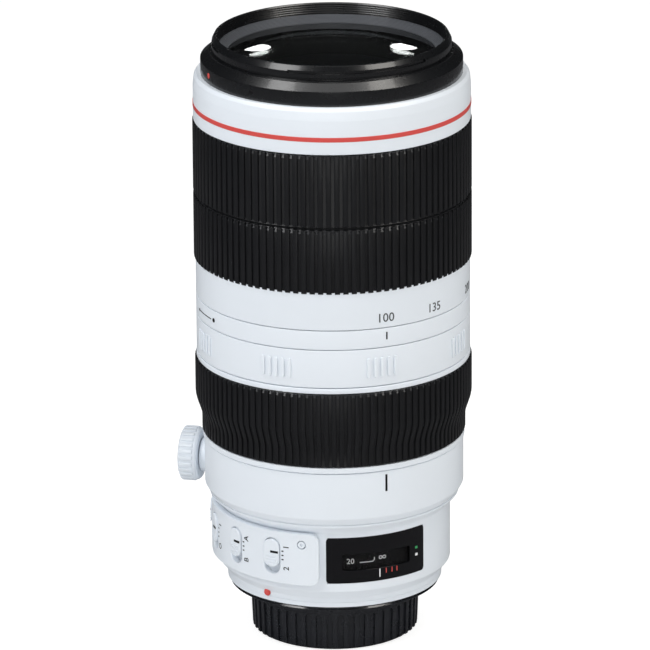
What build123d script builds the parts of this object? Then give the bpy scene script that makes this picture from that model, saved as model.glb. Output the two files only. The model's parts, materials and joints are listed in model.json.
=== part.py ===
from build123d import *
import math
import os

# A telephoto zoom lens standing on its rear cap. The optical axis is +Z, the origin is the centre
# of the cap's bottom face, and the index marks face -Y. Angles round the barrel are measured from
# the index, positive towards +X. All sizes are millimetres.

# Heights of the barrel's sections, stacked up from the ground
cap_height = 17.2
cap_seat_gap = 0.8
gasket_rise = 0.85
base_ring_height = 1.65
skirt_height = 1.9
cone_height = 3.1
housing_height = 21.1
shoulder_height = 2.8
shim_height = 0.8
collar_height = 19.0
focus_lip_height = 2.0
focus_height = 27.0
barrel_lip_height = 1.8
tension_height = 13.7
index_height = 6.5
scale_height = 13.0
zoom_rubber_height = 48.2
front_band_height = 16.1
hood_ring_height = 12.8

# Clearances: between moving neighbours, in running fits, between fitted pieces, and cut overrun
axial_gap = 0.3
side_gap = 0.3
running_gap = 0.08
fit_gap = 0.05
overrun = 1.0

# Motions
zoom_angle = 105.0
focus_angle = 130.0
focus_travel = 9.0
switch_travel = 2.0
mode_travel = 4.0
shoe_travel = 0.35
stabiliser_travel = 1.0

# Straight runs that make up a helical slot
slot_run_angle = 7.0

# The grips' radius, and the shares of it that the other radii take
grip_radius = 47.1
base_ring_share = 0.7813
housing_share = 0.8408
shoulder_share = 0.9002
collar_share = 0.9384
focus_lip_share = 0.9469
focus_tail_share = 0.9533
barrel_lip_share = 0.9894
index_share = 0.9873
front_low_share = 0.9936
front_top_share = 0.9682
hood_share = 0.9384
hood_cone_share = 0.8747
rim_share = 0.8577
filter_thread_share = 0.8121
front_glass_share = 0.7622
cone_end_share = 0.7473
variator_glass_share = 0.5945
stabiliser_glass_share = 0.4459
stabiliser_light_share = 0.5096
focus_glass_share = 0.4565
rear_glass_share = 0.4352
frame_share = 0.4777
mount_share = 0.6879
throat_share = 0.5096
tab_share = 0.5732
plate_foot_share = 0.5796
mount_screw_share = 0.6285
cap_share = 0.6136
gasket_share = 0.7601
contact_share = 0.4374
board_inner_share = 0.5435
panel_share = 0.8917
collar_seat_share = 0.8977
focus_shell_share = 0.9766
focus_tail_shell_share = 0.9321
tension_seat_share = 0.966
zoom_shell_share = 0.9724

# Chamfers and steps in the barrel's outline
collar_chamfer_radial = 1.6
collar_chamfer_axial = 2.5
front_round_height = 4.2
hood_side_height = 5.1
hood_cone_height = 2.3

# Outer radii of the barrel
base_ring_radius = grip_radius * base_ring_share
housing_radius = grip_radius * housing_share
shoulder_radius = grip_radius * shoulder_share
collar_radius = grip_radius * collar_share
focus_lip_radius = grip_radius * focus_lip_share
focus_rubber_radius = grip_radius
focus_tail_radius = grip_radius * focus_tail_share
barrel_lip_radius = grip_radius * barrel_lip_share
tension_radius = grip_radius * index_share
index_radius = grip_radius * index_share
scale_radius = grip_radius * index_share
zoom_rubber_radius = grip_radius
front_low_radius = grip_radius * front_low_share
front_top_radius = grip_radius * front_top_share
hood_radius = grip_radius * hood_share
hood_cone_radius = grip_radius * hood_cone_share
rim_radius = grip_radius * rim_share

# Walls
outer_wall = 0.9
shell_wall = 1.1
tube_wall = 1.0
thin_wall = 1.2
housing_wall = 1.4

# Optics
rear_glass_radius = grip_radius * rear_glass_share
focus_glass_radius = grip_radius * focus_glass_share
stabiliser_glass_radius = grip_radius * stabiliser_glass_share
variator_glass_radius = grip_radius * variator_glass_share
front_glass_radius = grip_radius * front_glass_share
filter_thread_radius = grip_radius * filter_thread_share
filter_thread_length = 4.0
thread_ledge = 1.25

# Heights worked out from the stack
flange_z = cap_height + cap_seat_gap
housing_low = flange_z + gasket_rise
base_ring_top = housing_low + base_ring_height
skirt_top = base_ring_top + skirt_height
cone_top = skirt_top + cone_height
shoulder_low = cone_top + housing_height
shoulder_top = shoulder_low + shoulder_height
shim_top = shoulder_top + shim_height
collar_low = shim_top + axial_gap
collar_top = collar_low + collar_height - axial_gap
focus_lip_low = collar_top + axial_gap
focus_lip_top = focus_lip_low + focus_lip_height
focus_low = focus_lip_top + axial_gap
focus_top = focus_lip_top + focus_height - axial_gap
barrel_lip_low = focus_top + axial_gap
barrel_lip_top = barrel_lip_low + barrel_lip_height
tension_low = barrel_lip_top + axial_gap
tension_top = barrel_lip_top + tension_height - axial_gap
index_low = tension_top + axial_gap
index_top = index_low + index_height
scale_low = index_top + axial_gap
scale_top = index_top + scale_height
zoom_top = scale_top + zoom_rubber_height
front_low = zoom_top + axial_gap
front_top = front_low + front_band_height - axial_gap
hood_top = front_top + hood_ring_height


def turned(*outline):
    """A solid turned about the optical axis from (radius, height) points."""
    points = [(radius, 0, height) for radius, height in outline]
    return revolve(make_face(Polyline(*points, close=True)), Axis.Z)


def tube(outer, inner, low, high):
    """A plain tube between two heights."""
    return turned((inner, low), (outer, low), (outer, high), (inner, high))


def disc(radius, low, high):
    """A plain round plate between two heights."""
    return Pos(0, 0, low) * Cylinder(radius, high - low, align=(Align.CENTER, Align.CENTER, Align.MIN))


def sector(outer, inner, low, high, start, end):
    """Part of a tube, between two angles from the index."""
    points = [(inner, 0, low), (outer, 0, low), (outer, 0, high), (inner, 0, high)]
    face = make_face(Polyline(*points, close=True))
    return Rot(0, 0, start - 90) * revolve(face, Axis.Z, end - start)


def outward(angle, radius, height):
    """A plane on the barrel at an angle from the index: z points outwards, y up, x to the right."""
    sine = math.sin(math.radians(angle))
    cosine = math.cos(math.radians(angle))
    return Plane(
        origin=(radius * sine, -radius * cosine, height),
        x_dir=(cosine, sine, 0),
        z_dir=(sine, -cosine, 0),
    )


def radial_rod(radius, angle, inner, outer, height):
    """A round rod that points outwards from the optical axis."""
    rod = Cylinder(radius, outer - inner, align=(Align.CENTER, Align.CENTER, Align.MIN))
    return outward(angle, inner, height) * rod


def upright_rod(radius, angle, reach, low, high):
    """A round rod parallel to the optical axis, reach away from it."""
    sine = math.sin(math.radians(angle))
    cosine = math.cos(math.radians(angle))
    return Pos(reach * sine, -reach * cosine, 0) * disc(radius, low, high)


def block(width, depth, height, angle, inner, low):
    """A straight-sided block, set outwards from the optical axis."""
    box = Box(width, height, depth, align=(Align.CENTER, Align.MIN, Align.MIN))
    return outward(angle, inner, low) * box


def around(count, start=0.0):
    """Equal angles round the barrel."""
    return [start + 360 / count * index for index in range(count)]


def helical_slot(inner, outer, low, rise, sweep_angle, width, start):
    """Cutters for a slot that climbs round a wall: short straight runs joined by round ends."""
    count = math.ceil(abs(sweep_angle) / slot_run_angle)
    turn = sweep_angle / count
    climb = rise / count
    radius = (inner + outer) / 2
    across = 2 * radius * math.sin(math.radians(turn) / 2)
    run = Box(math.hypot(across, climb), width, outer - inner, align=(Align.CENTER, Align.CENTER, Align.MIN))
    lead = math.degrees(math.atan2(climb, across))
    cutters = [radial_rod(width / 2, start + turn * index, inner, outer, low + climb * index)
               for index in range(count + 1)]
    for index in range(count):
        middle = outward(start + turn * (index + 1 / 2), inner, low + climb * (index + 1 / 2))
        cutters.append(middle * Rot(0, 0, lead) * run)
    return cutters


def rib_outline(radius, depth, count, land_share, height):
    """The closed outline of a ribbed ring: straight lands with straight-sided grooves between."""
    step = 2 * math.pi / count
    land = step * land_share / 2
    slope = step * (1 - land_share) / 4
    points = []
    for index in range(count):
        middle = index * step
        for turn, reach in (
            (-land - slope, radius - depth),
            (-land, radius),
            (land, radius),
            (land + slope, radius - depth),
        ):
            points.append((reach * math.cos(middle + turn), reach * math.sin(middle + turn), height))
    return make_face(Polyline(*points, close=True))


def cut_all(solid, cutters):
    """Cut several tools out of a solid at once."""
    return solid - cutters


def save(name, solid):
    """Write one node."""
    export_step(solid, f"parts/{name}.step")


# Bayonet mount: a metal plate with a skirt and three tabs, as on a full-frame camera
mount_radius = grip_radius * mount_share
mount_plate = 2.5
throat_radius = grip_radius * throat_share
skirt_wall = 1.6
skirt_drop = 6.2
tab_radius = grip_radius * tab_share
tab_height = 2.0
tab_count = 3
tab_angle = 56.0
plate_foot_radius = grip_radius * plate_foot_share
mount_screw_count = 4
mount_screw_reach = grip_radius * mount_screw_share
mount_screw_angle = 45.0
screw_head_radius = 1.5
screw_head_height = 0.9
screw_shank_radius = 0.8
screw_shank_length = 3.0
skirt_radius = throat_radius + skirt_wall


def screw_recess(clearance):
    """The space that one countersunk mount screw needs, head down."""
    head = disc(screw_head_radius + clearance, flange_z, flange_z + screw_head_height)
    shank = disc(screw_shank_radius + clearance, flange_z, flange_z + screw_shank_length)
    return head + shank


def bayonet_mount():
    """The lens-side bayonet ring."""
    plate = tube(mount_radius, throat_radius, flange_z, flange_z + mount_plate - fit_gap)
    skirt = tube(skirt_radius, throat_radius, flange_z - skirt_drop, flange_z)
    solid = plate + skirt
    for angle in around(tab_count):
        low = flange_z - skirt_drop
        half = tab_angle / 2
        solid += sector(tab_radius, throat_radius, low, low + tab_height, angle - half, angle + half)
    holes = []
    for angle in around(mount_screw_count, mount_screw_angle):
        sine = math.sin(math.radians(angle)) * mount_screw_reach
        cosine = math.cos(math.radians(angle)) * mount_screw_reach
        holes.append(Pos(sine, -cosine, 0) * screw_recess(0))
    return cut_all(solid, holes)


# Rear cap: a cup whose three lugs pass the bayonet tabs
cap_radius = grip_radius * cap_share
cap_draft = 0.7
cap_wall = 1.3
cap_floor = 2.0
cap_edge = 1.2
cap_flute_count = 48
cap_flute_radius = 1.25
cap_flute_depth = 0.45
cap_flute_margin = 3.1
cap_lug_angle = 40.0
cap_lug_drop = 1.6
cap_lug_height = 1.4
cap_bore = cap_radius - cap_wall
cap_foot_width = 4.0
cap_foot_depth = 0.4


def rear_cap():
    """The push-off rear cap."""
    low_radius = cap_radius - cap_draft
    cup = turned(
        (0, 0),
        (low_radius - cap_edge, 0),
        (low_radius, cap_edge),
        (cap_radius, cap_height),
        (cap_bore, cap_height),
        (cap_bore, cap_floor),
        (0, cap_floor),
    )
    flutes = []
    flute_top = cap_height - cap_flute_margin
    reach = low_radius + cap_flute_radius - cap_flute_depth
    lean = (cap_flute_margin + cap_flute_radius) / 2
    for angle in around(cap_flute_count):
        flutes.append(upright_rod(cap_flute_radius, angle, reach, lean / 2, flute_top))
    cup = cut_all(cup, flutes)
    for angle in around(tab_count, 180 / tab_count):
        half = cap_lug_angle / 2
        top = cap_height - cap_lug_drop
        low = top - cap_lug_height
        cup += sector(cap_bore + fit_gap, skirt_radius + side_gap, low, top, angle - half, angle + half)
    recess = disc(low_radius - cap_edge - cap_foot_width, 0, cap_foot_depth)
    return cup - recess


# Gasket, contacts and the circuit board
gasket_radius = grip_radius * gasket_share
gasket_drop = 0.7
contact_half_angle = 30.0
contact_inner = grip_radius * contact_share
contact_height = 4.4
contact_lift = 1.4
pin_count = 8
pin_radius = 0.7
pin_drop = 0.25
board_gap = 0.2
board_radius = base_ring_radius - housing_wall - board_gap
board_inner = grip_radius * board_inner_share
board_thick = 1.2
board_lift = 2.0
post_radius = 1.8
post_inset = 2.2
post_reach = board_radius - post_inset
post_count = 3
chip_width = 6.0
chip_height = 1.4
chip_count = 5
floor_thick = 1.6
floor_bore = plate_foot_radius + fit_gap

floor_low = flange_z + mount_plate
floor_top = floor_low + floor_thick
board_low = floor_top + board_lift


def mount_gasket():
    """The sealing ring round the mount."""
    low = flange_z - gasket_drop
    return tube(gasket_radius, mount_radius + fit_gap, low, housing_low)


def contact_block():
    """The moulded block in the throat that holds the contacts."""
    low = flange_z - skirt_drop + contact_lift
    outer = throat_radius
    high = low + contact_height
    return sector(outer, contact_inner, low, high, -contact_half_angle, contact_half_angle)


def contact_pins():
    """The gold contacts on the block's lower face."""
    low = flange_z - skirt_drop + contact_lift
    reach = (throat_radius + contact_inner) / 2
    span = 2 * contact_half_angle
    pins = []
    for index in range(pin_count):
        angle = -contact_half_angle + span * (index + 1 / 2) / pin_count
        pins.append(upright_rod(pin_radius, angle, reach, low - pin_drop, low))
    return Compound(pins)


def main_board():
    """The ring-shaped circuit board with its chips."""
    board = tube(board_radius, board_inner, board_low, board_low + board_thick)
    for angle in around(chip_count, 180 / chip_count):
        inner = (board_radius + board_inner - chip_width) / 2
        board += block(chip_width, chip_width, chip_height + fit_gap, angle, inner,
                       board_low + board_thick - fit_gap)
    return board


# Distance window, in the rear housing's front
window_half_angle = 26.4
window_low_margin = 3.0
window_high_margin = 1.7
bezel_proud = 0.12
bezel_depth = 0.7
opening_left = -18.6
opening_right = 17.0
opening_height = 5.8
opening_lift = 4.6
pane_thick = 0.5
pane_ledge_angle = 1.6
pane_ledge = 0.9

window_low = cone_top + window_low_margin
window_high = shoulder_low - window_high_margin
opening_low = window_low + opening_lift
opening_high = opening_low + opening_height
bezel_inner = housing_radius - bezel_depth
housing_bore = housing_radius - housing_wall


def window_bezel():
    """The black frame of the distance window."""
    outer = housing_radius + bezel_proud
    inner = bezel_inner
    frame = sector(outer, inner, window_low + fit_gap, window_high - fit_gap,
                   -window_half_angle + fit_gap, window_half_angle - fit_gap)
    opening = sector(outer + overrun, inner - overrun, opening_low, opening_high,
                     opening_left, opening_right)
    return frame - opening


def window_pane():
    """The clear pane, held behind the frame."""
    return sector(bezel_inner, bezel_inner - pane_thick, opening_low - pane_ledge,
                  opening_high + pane_ledge, opening_left - pane_ledge_angle,
                  opening_right + pane_ledge_angle)


# Rear housing: the shell with the shoulder, the mount floor and the board's posts
base_inner = mount_radius + fit_gap


def rear_housing():
    """The white rear housing."""
    cone_inner = base_ring_radius - housing_wall
    shoulder_inner = shoulder_radius - housing_wall
    shell = turned(
        (floor_bore, floor_low),
        (base_inner, floor_low),
        (base_inner, housing_low),
        (base_ring_radius, housing_low),
        (base_ring_radius, skirt_top),
        (housing_radius, cone_top),
        (housing_radius, shoulder_low),
        (shoulder_radius, shoulder_top),
        (shoulder_radius + shim_proud, shoulder_top),
        (shoulder_radius + shim_proud, shim_top),
        (shoulder_inner, shim_top),
        (shoulder_inner, shoulder_top),
        (housing_bore, shoulder_low),
        (housing_bore, cone_top),
        (cone_inner, floor_top),
        (floor_bore, floor_top),
    )
    for angle in around(post_count):
        shell += upright_rod(post_radius, angle, post_reach, floor_low, board_low)
    recess = sector(housing_radius + overrun, bezel_inner, window_low, window_high,
                    -window_half_angle, window_half_angle)
    hole = sector(housing_radius + overrun, housing_bore - overrun, opening_low - pane_ledge - fit_gap,
                  opening_high + pane_ledge + fit_gap, opening_left - pane_ledge_angle,
                  opening_right + pane_ledge_angle)
    holes = [recess, hole]
    for angle in around(mount_screw_count, mount_screw_angle):
        top = flange_z + screw_shank_length
        holes.append(upright_rod(screw_shank_radius, angle, mount_screw_reach, flange_z, top))
    return cut_all(shell, holes)


# Switch panel and its four slide switches
panel_radius = grip_radius * panel_share
panel_left = -134.0
panel_right = -30.0
panel_low_margin = 2.6
panel_corner = 3.0
switch_angles = (-53.0, -75.5, -98.0, -120.5)
switch_top_margin = 2.6
slot_width = 6.2
slot_height = 12.8
button_width = 5.6
button_proud = 0.7
button_foot = 0.8
button_foot_thick = 0.8
pocket_depth = 1.2
grip_count = 3
grip_width = 0.5
grip_depth = 0.25
panel_screw_angle = -37.5
panel_screw_drop = 4.2

panel_low = cone_top + panel_low_margin
panel_high = shoulder_low - fit_gap
slot_top = panel_high - switch_top_margin
slot_low = slot_top - slot_height
panel_inner = housing_radius + fit_gap
pocket_outer = panel_inner + pocket_depth


def button_height(travel):
    """How tall a button is, to move by its travel in its slot."""
    return slot_height - travel - 2 * (slot_width - button_width) / 2 - side_gap


def switch_panel():
    """The raised panel that holds the switches."""
    plate = sector(panel_radius, panel_inner, panel_low, panel_high, panel_left, panel_right)
    corners = plate.edges().filter_by(lambda edge: abs(edge.length - (panel_radius - panel_inner)) < fit_gap)
    plate = fillet(corners, panel_corner)
    cutters = []
    for angle in switch_angles:
        reach = panel_radius - panel_inner + 2 * overrun
        slot = extrude(SlotOverall(slot_height, slot_width, rotation=90), reach)
        cutters.append(outward(angle, panel_inner - overrun, (slot_low + slot_top) / 2) * slot)
        margin = button_foot + side_gap
        half = math.degrees((slot_width / 2 + margin) / panel_inner)
        cutters.append(sector(pocket_outer, panel_inner - overrun, slot_low - margin, slot_top + margin,
                              angle - half, angle + half))
    screw_height = panel_high - panel_screw_drop
    cutters.append(radial_rod(screw_head_radius + fit_gap, panel_screw_angle, panel_radius - screw_head_height,
                              panel_radius + overrun, screw_height))
    cutters.append(radial_rod(screw_shank_radius + fit_gap, panel_screw_angle, panel_inner - overrun,
                              panel_radius, screw_height))
    return cut_all(plate, cutters)


def switch_button(angle, travel):
    """A slide switch's button, at the upper end of its slot."""
    height = button_height(travel)
    gap = (slot_width - button_width) / 2
    top = slot_top - gap
    middle = top - height / 2
    inner = pocket_outer - button_foot_thick
    reach = panel_radius + button_proud - inner
    body = extrude(SlotOverall(height, button_width, rotation=90), reach)
    body = outward(angle, inner, middle) * body
    grips = []
    for index in range(grip_count):
        lift = (index - (grip_count - 1) / 2) * 3 * grip_width
        grips.append(block(button_width + overrun, grip_depth + overrun, grip_width, angle,
                           panel_radius + button_proud - grip_depth, middle + lift - grip_width / 2))
    body = cut_all(body, grips)
    half = math.degrees((slot_width / 2 + button_foot) / panel_inner)
    low = middle - height / 2 - button_foot
    foot_high = top + button_foot
    foot = sector(pocket_outer - running_gap, inner - running_gap, low + side_gap, foot_high - side_gap,
                  angle - half, angle + half)
    return body + foot


def screws():
    """The mount screws and the panel's screw."""
    heads = []
    for angle in around(mount_screw_count, mount_screw_angle):
        sine = math.sin(math.radians(angle)) * mount_screw_reach
        cosine = math.cos(math.radians(angle)) * mount_screw_reach
        heads.append(Pos(sine, -cosine, 0) * screw_recess(0))
    height = panel_high - panel_screw_drop
    head = radial_rod(screw_head_radius, panel_screw_angle, panel_radius - screw_head_height,
                      panel_radius - fit_gap, height)
    shank = radial_rod(screw_shank_radius, panel_screw_angle, panel_inner - fit_gap,
                       panel_radius - screw_head_height, height)
    heads.append(head + shank)
    return Compound(heads)


# Fixed barrel: the collar's seat, the outer barrel with the focus ring's seat, and the index ring
shim_proud = 0.2
collar_seat_radius = grip_radius * collar_seat_share
collar_seat_wall = 1.2
spigot_height = 3.6
focus_step_drop = 1.6
focus_step_lift = 13.6
focus_shell_radius = grip_radius * focus_shell_share
focus_tail_shell_radius = grip_radius * focus_tail_shell_share
focus_seat_radius = focus_shell_radius - shell_wall - side_gap
tail_seat_radius = focus_tail_shell_radius - tube_wall - side_gap
tension_seat_radius = grip_radius * tension_seat_share

focus_step_z = focus_lip_top + focus_step_lift
outer_bore = focus_seat_radius - outer_wall
tail_bore = tail_seat_radius - thin_wall
shelf_thick = 2.0
shelf_low = focus_step_z - shelf_thick


def collar_seat():
    """The fixed tube that the tripod collar turns on, with the white lip above it."""
    inner = collar_seat_radius - collar_seat_wall
    spigot = tail_bore - fit_gap
    return turned(
        (inner, shim_top),
        (collar_seat_radius, shim_top),
        (collar_seat_radius, focus_lip_low),
        (focus_lip_radius, focus_lip_low),
        (focus_lip_radius, focus_lip_top),
        (spigot, focus_lip_top),
        (spigot, focus_lip_top + spigot_height),
        (spigot - tube_wall, focus_lip_top + spigot_height),
        (spigot - tube_wall, focus_lip_low),
        (inner, focus_lip_low - shelf_thick),
    )


def outer_barrel():
    """The fixed outer barrel inside the focus, tension and index rings."""
    return turned(
        (tail_bore, focus_lip_top),
        (tail_seat_radius, focus_lip_top),
        (tail_seat_radius, focus_step_z),
        (focus_seat_radius, focus_step_z),
        (focus_seat_radius, barrel_lip_low),
        (barrel_lip_radius, barrel_lip_low),
        (barrel_lip_radius, barrel_lip_top),
        (tension_seat_radius, barrel_lip_top),
        (tension_seat_radius, index_top - overrun),
        (outer_bore, index_top - overrun),
        (outer_bore, focus_step_z),
        (tail_bore, shelf_low),
    )


def index_ring():
    """The white index ring that keeps the tension ring on."""
    solid = turned(
        (tension_seat_radius + fit_gap, index_low),
        (index_radius, index_low),
        (index_radius, index_top),
        (outer_bore + running_gap, index_top),
        (outer_bore + running_gap, index_top - overrun),
        (tension_seat_radius + fit_gap, index_top - overrun),
    )
    return solid


# Guide barrel: a base ring with an outer wall with three straight slots, and an inner wall
guide_base = 3.0
follower_radius = 2.0
follower_lift = 4.0
guide_gap = 0.3
cam_radius = outer_bore - side_gap
cam_bore = cam_radius - tube_wall
guide_radius = cam_bore - guide_gap
guide_bore = guide_radius - tube_wall
extension_radius = guide_bore - guide_gap
extension_bore = extension_radius - tube_wall
inner_wall_radius = extension_bore - guide_gap
inner_bore = inner_wall_radius - tube_wall
guide_end_margin = 5.0
guide_end_drop = 6.3

guide_low = focus_step_z
guide_base_top = guide_low + guide_base
extension_low = guide_base_top + side_gap
follower_z = extension_low + follower_lift
guide_top = zoom_top - guide_end_drop
slot_end_z = guide_top - guide_end_margin
zoom_travel = slot_end_z - follower_z
slot_half = follower_radius + running_gap
follower_count = 3
follower_start = 15.0


def guide_barrel():
    """The fixed guide barrel."""
    solid = turned(
        (inner_bore, guide_low),
        (outer_bore - fit_gap, guide_low),
        (outer_bore - fit_gap, guide_base_top),
        (guide_radius, guide_base_top),
        (guide_radius, guide_top),
        (guide_bore, guide_top),
        (guide_bore, guide_base_top),
        (inner_wall_radius, guide_base_top),
        (inner_wall_radius, guide_top),
        (inner_bore, guide_top),
    )
    cutters = []
    for angle in around(follower_count, follower_start):
        for height in (follower_z, slot_end_z):
            cutters.append(radial_rod(slot_half, angle, guide_bore - guide_gap / 2,
                                      guide_radius + overrun, height))
        cutters.append(block(2 * slot_half, tube_wall + guide_gap / 2 + overrun, zoom_travel, angle,
                             guide_bore - guide_gap / 2, follower_z))
    return cut_all(solid, cutters)


# Zoom ring: shell with the scale band, cam barrel fixed inside it, and the rubber grip
zoom_shell_radius = grip_radius * zoom_shell_share
zoom_bore = zoom_shell_radius - outer_wall
cam_collar_height = 4.0
cam_end_gap = 0.4
cam_low = guide_base_top + cam_end_gap
cam_top = guide_top
zoom_rib_count = 104
zoom_rib_depth = 0.55
rib_land_share = 0.62
break_lift = 22.8
break_height = 1.0
break_depth = 0.35


def zoom_shell():
    """The zoom ring's shell: the white scale band below, a plain drum for the rubber above."""
    return turned(
        (zoom_bore, scale_low),
        (scale_radius, scale_low),
        (scale_radius, scale_top),
        (zoom_shell_radius, scale_top),
        (zoom_shell_radius, zoom_top - axial_gap),
        (zoom_bore, zoom_top - axial_gap),
    )


def zoom_rubber():
    """The ribbed zoom grip, in two bands."""
    face = rib_outline(zoom_rubber_radius, zoom_rib_depth, zoom_rib_count, rib_land_share, scale_top)
    ribs = extrude(face, zoom_top - scale_top, dir=(0, 0, 1))
    bore = disc(zoom_shell_radius, scale_top - overrun, zoom_top + overrun)
    middle = scale_top + break_lift
    groove = tube(zoom_rubber_radius + overrun, zoom_rubber_radius - break_depth, middle - break_height / 2,
                  middle + break_height / 2)
    return cut_all(ribs, [bore, groove])


def cam_barrel():
    """The cam barrel with three helical slots, fixed inside the zoom shell."""
    low_collar = scale_low + side_gap
    high_collar = cam_top - cam_collar_height
    solid = turned(
        (cam_bore, cam_low),
        (cam_radius, cam_low),
        (cam_radius, low_collar),
        (zoom_bore, low_collar),
        (zoom_bore, low_collar + cam_collar_height),
        (cam_radius, low_collar + cam_collar_height),
        (cam_radius, high_collar),
        (zoom_bore, high_collar),
        (zoom_bore, cam_top),
        (cam_bore, cam_top),
    )
    cutters = []
    for angle in around(follower_count, follower_start):
        cutters += helical_slot(cam_bore - guide_gap / 2, zoom_bore + overrun, follower_z, zoom_travel,
                                zoom_angle, 2 * slot_half, angle)
    return cut_all(solid, cutters)


# Front barrel: extension tube and followers, white band, hood ring, front lens cell
web_height = 2.0
band_wall = 1.2
cell_flange = 2.0
cone_step = 2.2
cone_end_radius = grip_radius * cone_end_share
glass_edge = 9.0
front_bulge = 1.9
cell_lip = 0.3
follower_cap_gap = 0.25


def extension_tube():
    """The tube that carries the front barrel out of the zoom ring."""
    solid = tube(extension_radius, extension_bore, extension_low, front_top)
    holes = [radial_rod(follower_radius, angle, extension_bore - overrun, extension_radius + overrun,
                        follower_z) for angle in around(follower_count, follower_start)]
    return cut_all(solid, holes)


def cam_followers():
    """The three follower pins at the extension tube's rear end."""
    outer = cam_radius - follower_cap_gap
    pins = [radial_rod(follower_radius, angle, extension_bore, outer, follower_z)
            for angle in around(follower_count, follower_start)]
    return Compound(pins)


def front_band():
    """The white band behind the hood ring."""
    inner = extension_radius
    round_low = front_top - front_round_height
    middle = (front_low_radius + front_top_radius) / 2 + (front_low_radius - front_top_radius) / 4
    hollow = front_top_radius - band_wall
    return turned(
        (inner, front_low),
        (front_low_radius, front_low),
        (front_low_radius, round_low),
        (middle, front_top - front_round_height / 4),
        (front_top_radius, front_top),
        (inner, front_top),
        (inner, front_top - web_height),
        (hollow, front_top - web_height),
        (hollow, front_low + web_height),
        (inner, front_low + web_height),
    )


def hood_mount_ring():
    """The black front ring: hood bayonet outside, filter thread inside."""
    side_top = front_top + hood_side_height
    cone_top_z = side_top + hood_cone_height
    slot_low_z = cone_top_z + (hood_top - cone_top_z) / 2
    ring = turned(
        (cell_seat_radius, front_top),
        (hood_radius, front_top),
        (hood_radius, side_top),
        (hood_cone_radius, cone_top_z),
        (rim_radius, cone_top_z),
        (rim_radius, hood_top),
        (filter_thread_radius, hood_top),
        (filter_thread_radius, cone_top_height),
        (cell_seat_radius, ledge_low),
    )
    slots = []
    for angle in around(hood_slot_count, hood_slot_start):
        slots.append(sector(rim_radius + overrun, rim_radius - hood_slot_depth, slot_low_z,
                            slot_low_z + hood_slot_height, angle, angle + hood_slot_angle))
    return cut_all(ring, slots)


hood_slot_count = 3
hood_slot_start = -44.0
hood_slot_angle = 72.0
hood_slot_height = 1.1
hood_slot_depth = 0.6

cell_seat_radius = filter_thread_radius - thread_ledge
cell_radius = cell_seat_radius - fit_gap
cone_top_height = hood_top - filter_thread_length
cone_low_height = cone_top_height - cone_step
ledge_low = cone_top_height - cone_step * thread_ledge / (filter_thread_radius - cone_end_radius)
glass_top = cone_low_height - cell_lip
glass_low = glass_top - glass_edge
cell_low = glass_low - cell_flange


def front_cell():
    """The front lens cell with its sloping, finely stepped retaining lip."""
    seat = front_glass_radius + fit_gap
    flange_top = front_top
    return turned(
        (cone_end_radius, cell_low),
        (cell_radius, cell_low),
        (cell_radius, flange_top - cell_flange),
        (extension_bore, flange_top - cell_flange),
        (extension_bore, flange_top),
        (cell_radius, flange_top),
        (cell_radius, ledge_low - fit_gap),
        (cone_end_radius, cone_low_height),
        (cone_end_radius, glass_top),
        (seat, glass_top),
        (seat, glass_low),
        (cone_end_radius, glass_low),
    )


def lens_element(radius, low, high, front_rise, rear_drop):
    """A glass element: a drum with spherical ends, front_rise and rear_drop deep."""
    body = disc(radius, low, high)
    if front_rise:
        body += dome(radius, high, front_rise)
    if rear_drop:
        body += Pos(0, 0, low) * Rot(180, 0, 0) * dome(radius, 0, rear_drop)
    return body


def dome(radius, low, rise):
    """A spherical cap of one rise on a circle."""
    curve = (radius**2 + rise**2) / (2 * rise)
    ball = Pos(0, 0, low + rise - curve) * Sphere(curve)
    return ball & disc(radius, low, low + rise)


def front_glass():
    """The front lens group."""
    inset = front_glass_radius - cone_end_radius
    body = disc(front_glass_radius, glass_low, glass_top)
    body += dome(front_glass_radius - inset - fit_gap, glass_top, front_bulge)
    return body


# Tension ring with eight groups of grip ribs
tension_group_count = 8
tension_group_start = -2.0
tension_rib_count = 5
tension_rib_pitch = 2.4
tension_rib_width = 1.3
tension_rib_proud = 0.35
tension_rib_margin = 3.2


def tension_ring():
    """The smooth-to-stiff tension ring."""
    ring = tube(tension_radius, tension_seat_radius + running_gap, tension_low, tension_top)
    low = tension_low + tension_rib_margin
    high = tension_top - tension_rib_margin + side_gap
    rib_step = math.degrees(tension_rib_pitch / tension_radius)
    half = math.degrees(tension_rib_width / tension_radius) / 2
    for group in around(tension_group_count, tension_group_start):
        for index in range(tension_rib_count):
            angle = group + rib_step * (index - (tension_rib_count - 1) / 2)
            ring += sector(tension_radius + tension_rib_proud, tension_radius - fit_gap, low, high,
                           angle - half, angle + half)
    return ring


# Focus ring: shell and tapered rubber
focus_rib_count = 112
focus_rib_depth = 0.5
taper_low = 6.4
taper_high = 13.2


def focus_shell():
    """The focus ring's shell, narrower at the rear."""
    bore = focus_seat_radius + running_gap
    tail_bore_here = tail_seat_radius + running_gap
    tail_z = focus_step_z - focus_step_drop
    return turned(
        (tail_bore_here, focus_low),
        (focus_tail_shell_radius, focus_low),
        (focus_tail_shell_radius, focus_lip_top + taper_low),
        (focus_shell_radius, focus_lip_top + taper_high),
        (focus_shell_radius, focus_top),
        (bore, focus_top),
        (bore, focus_step_z - side_gap),
        (tail_bore_here, tail_z),
    )


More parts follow.
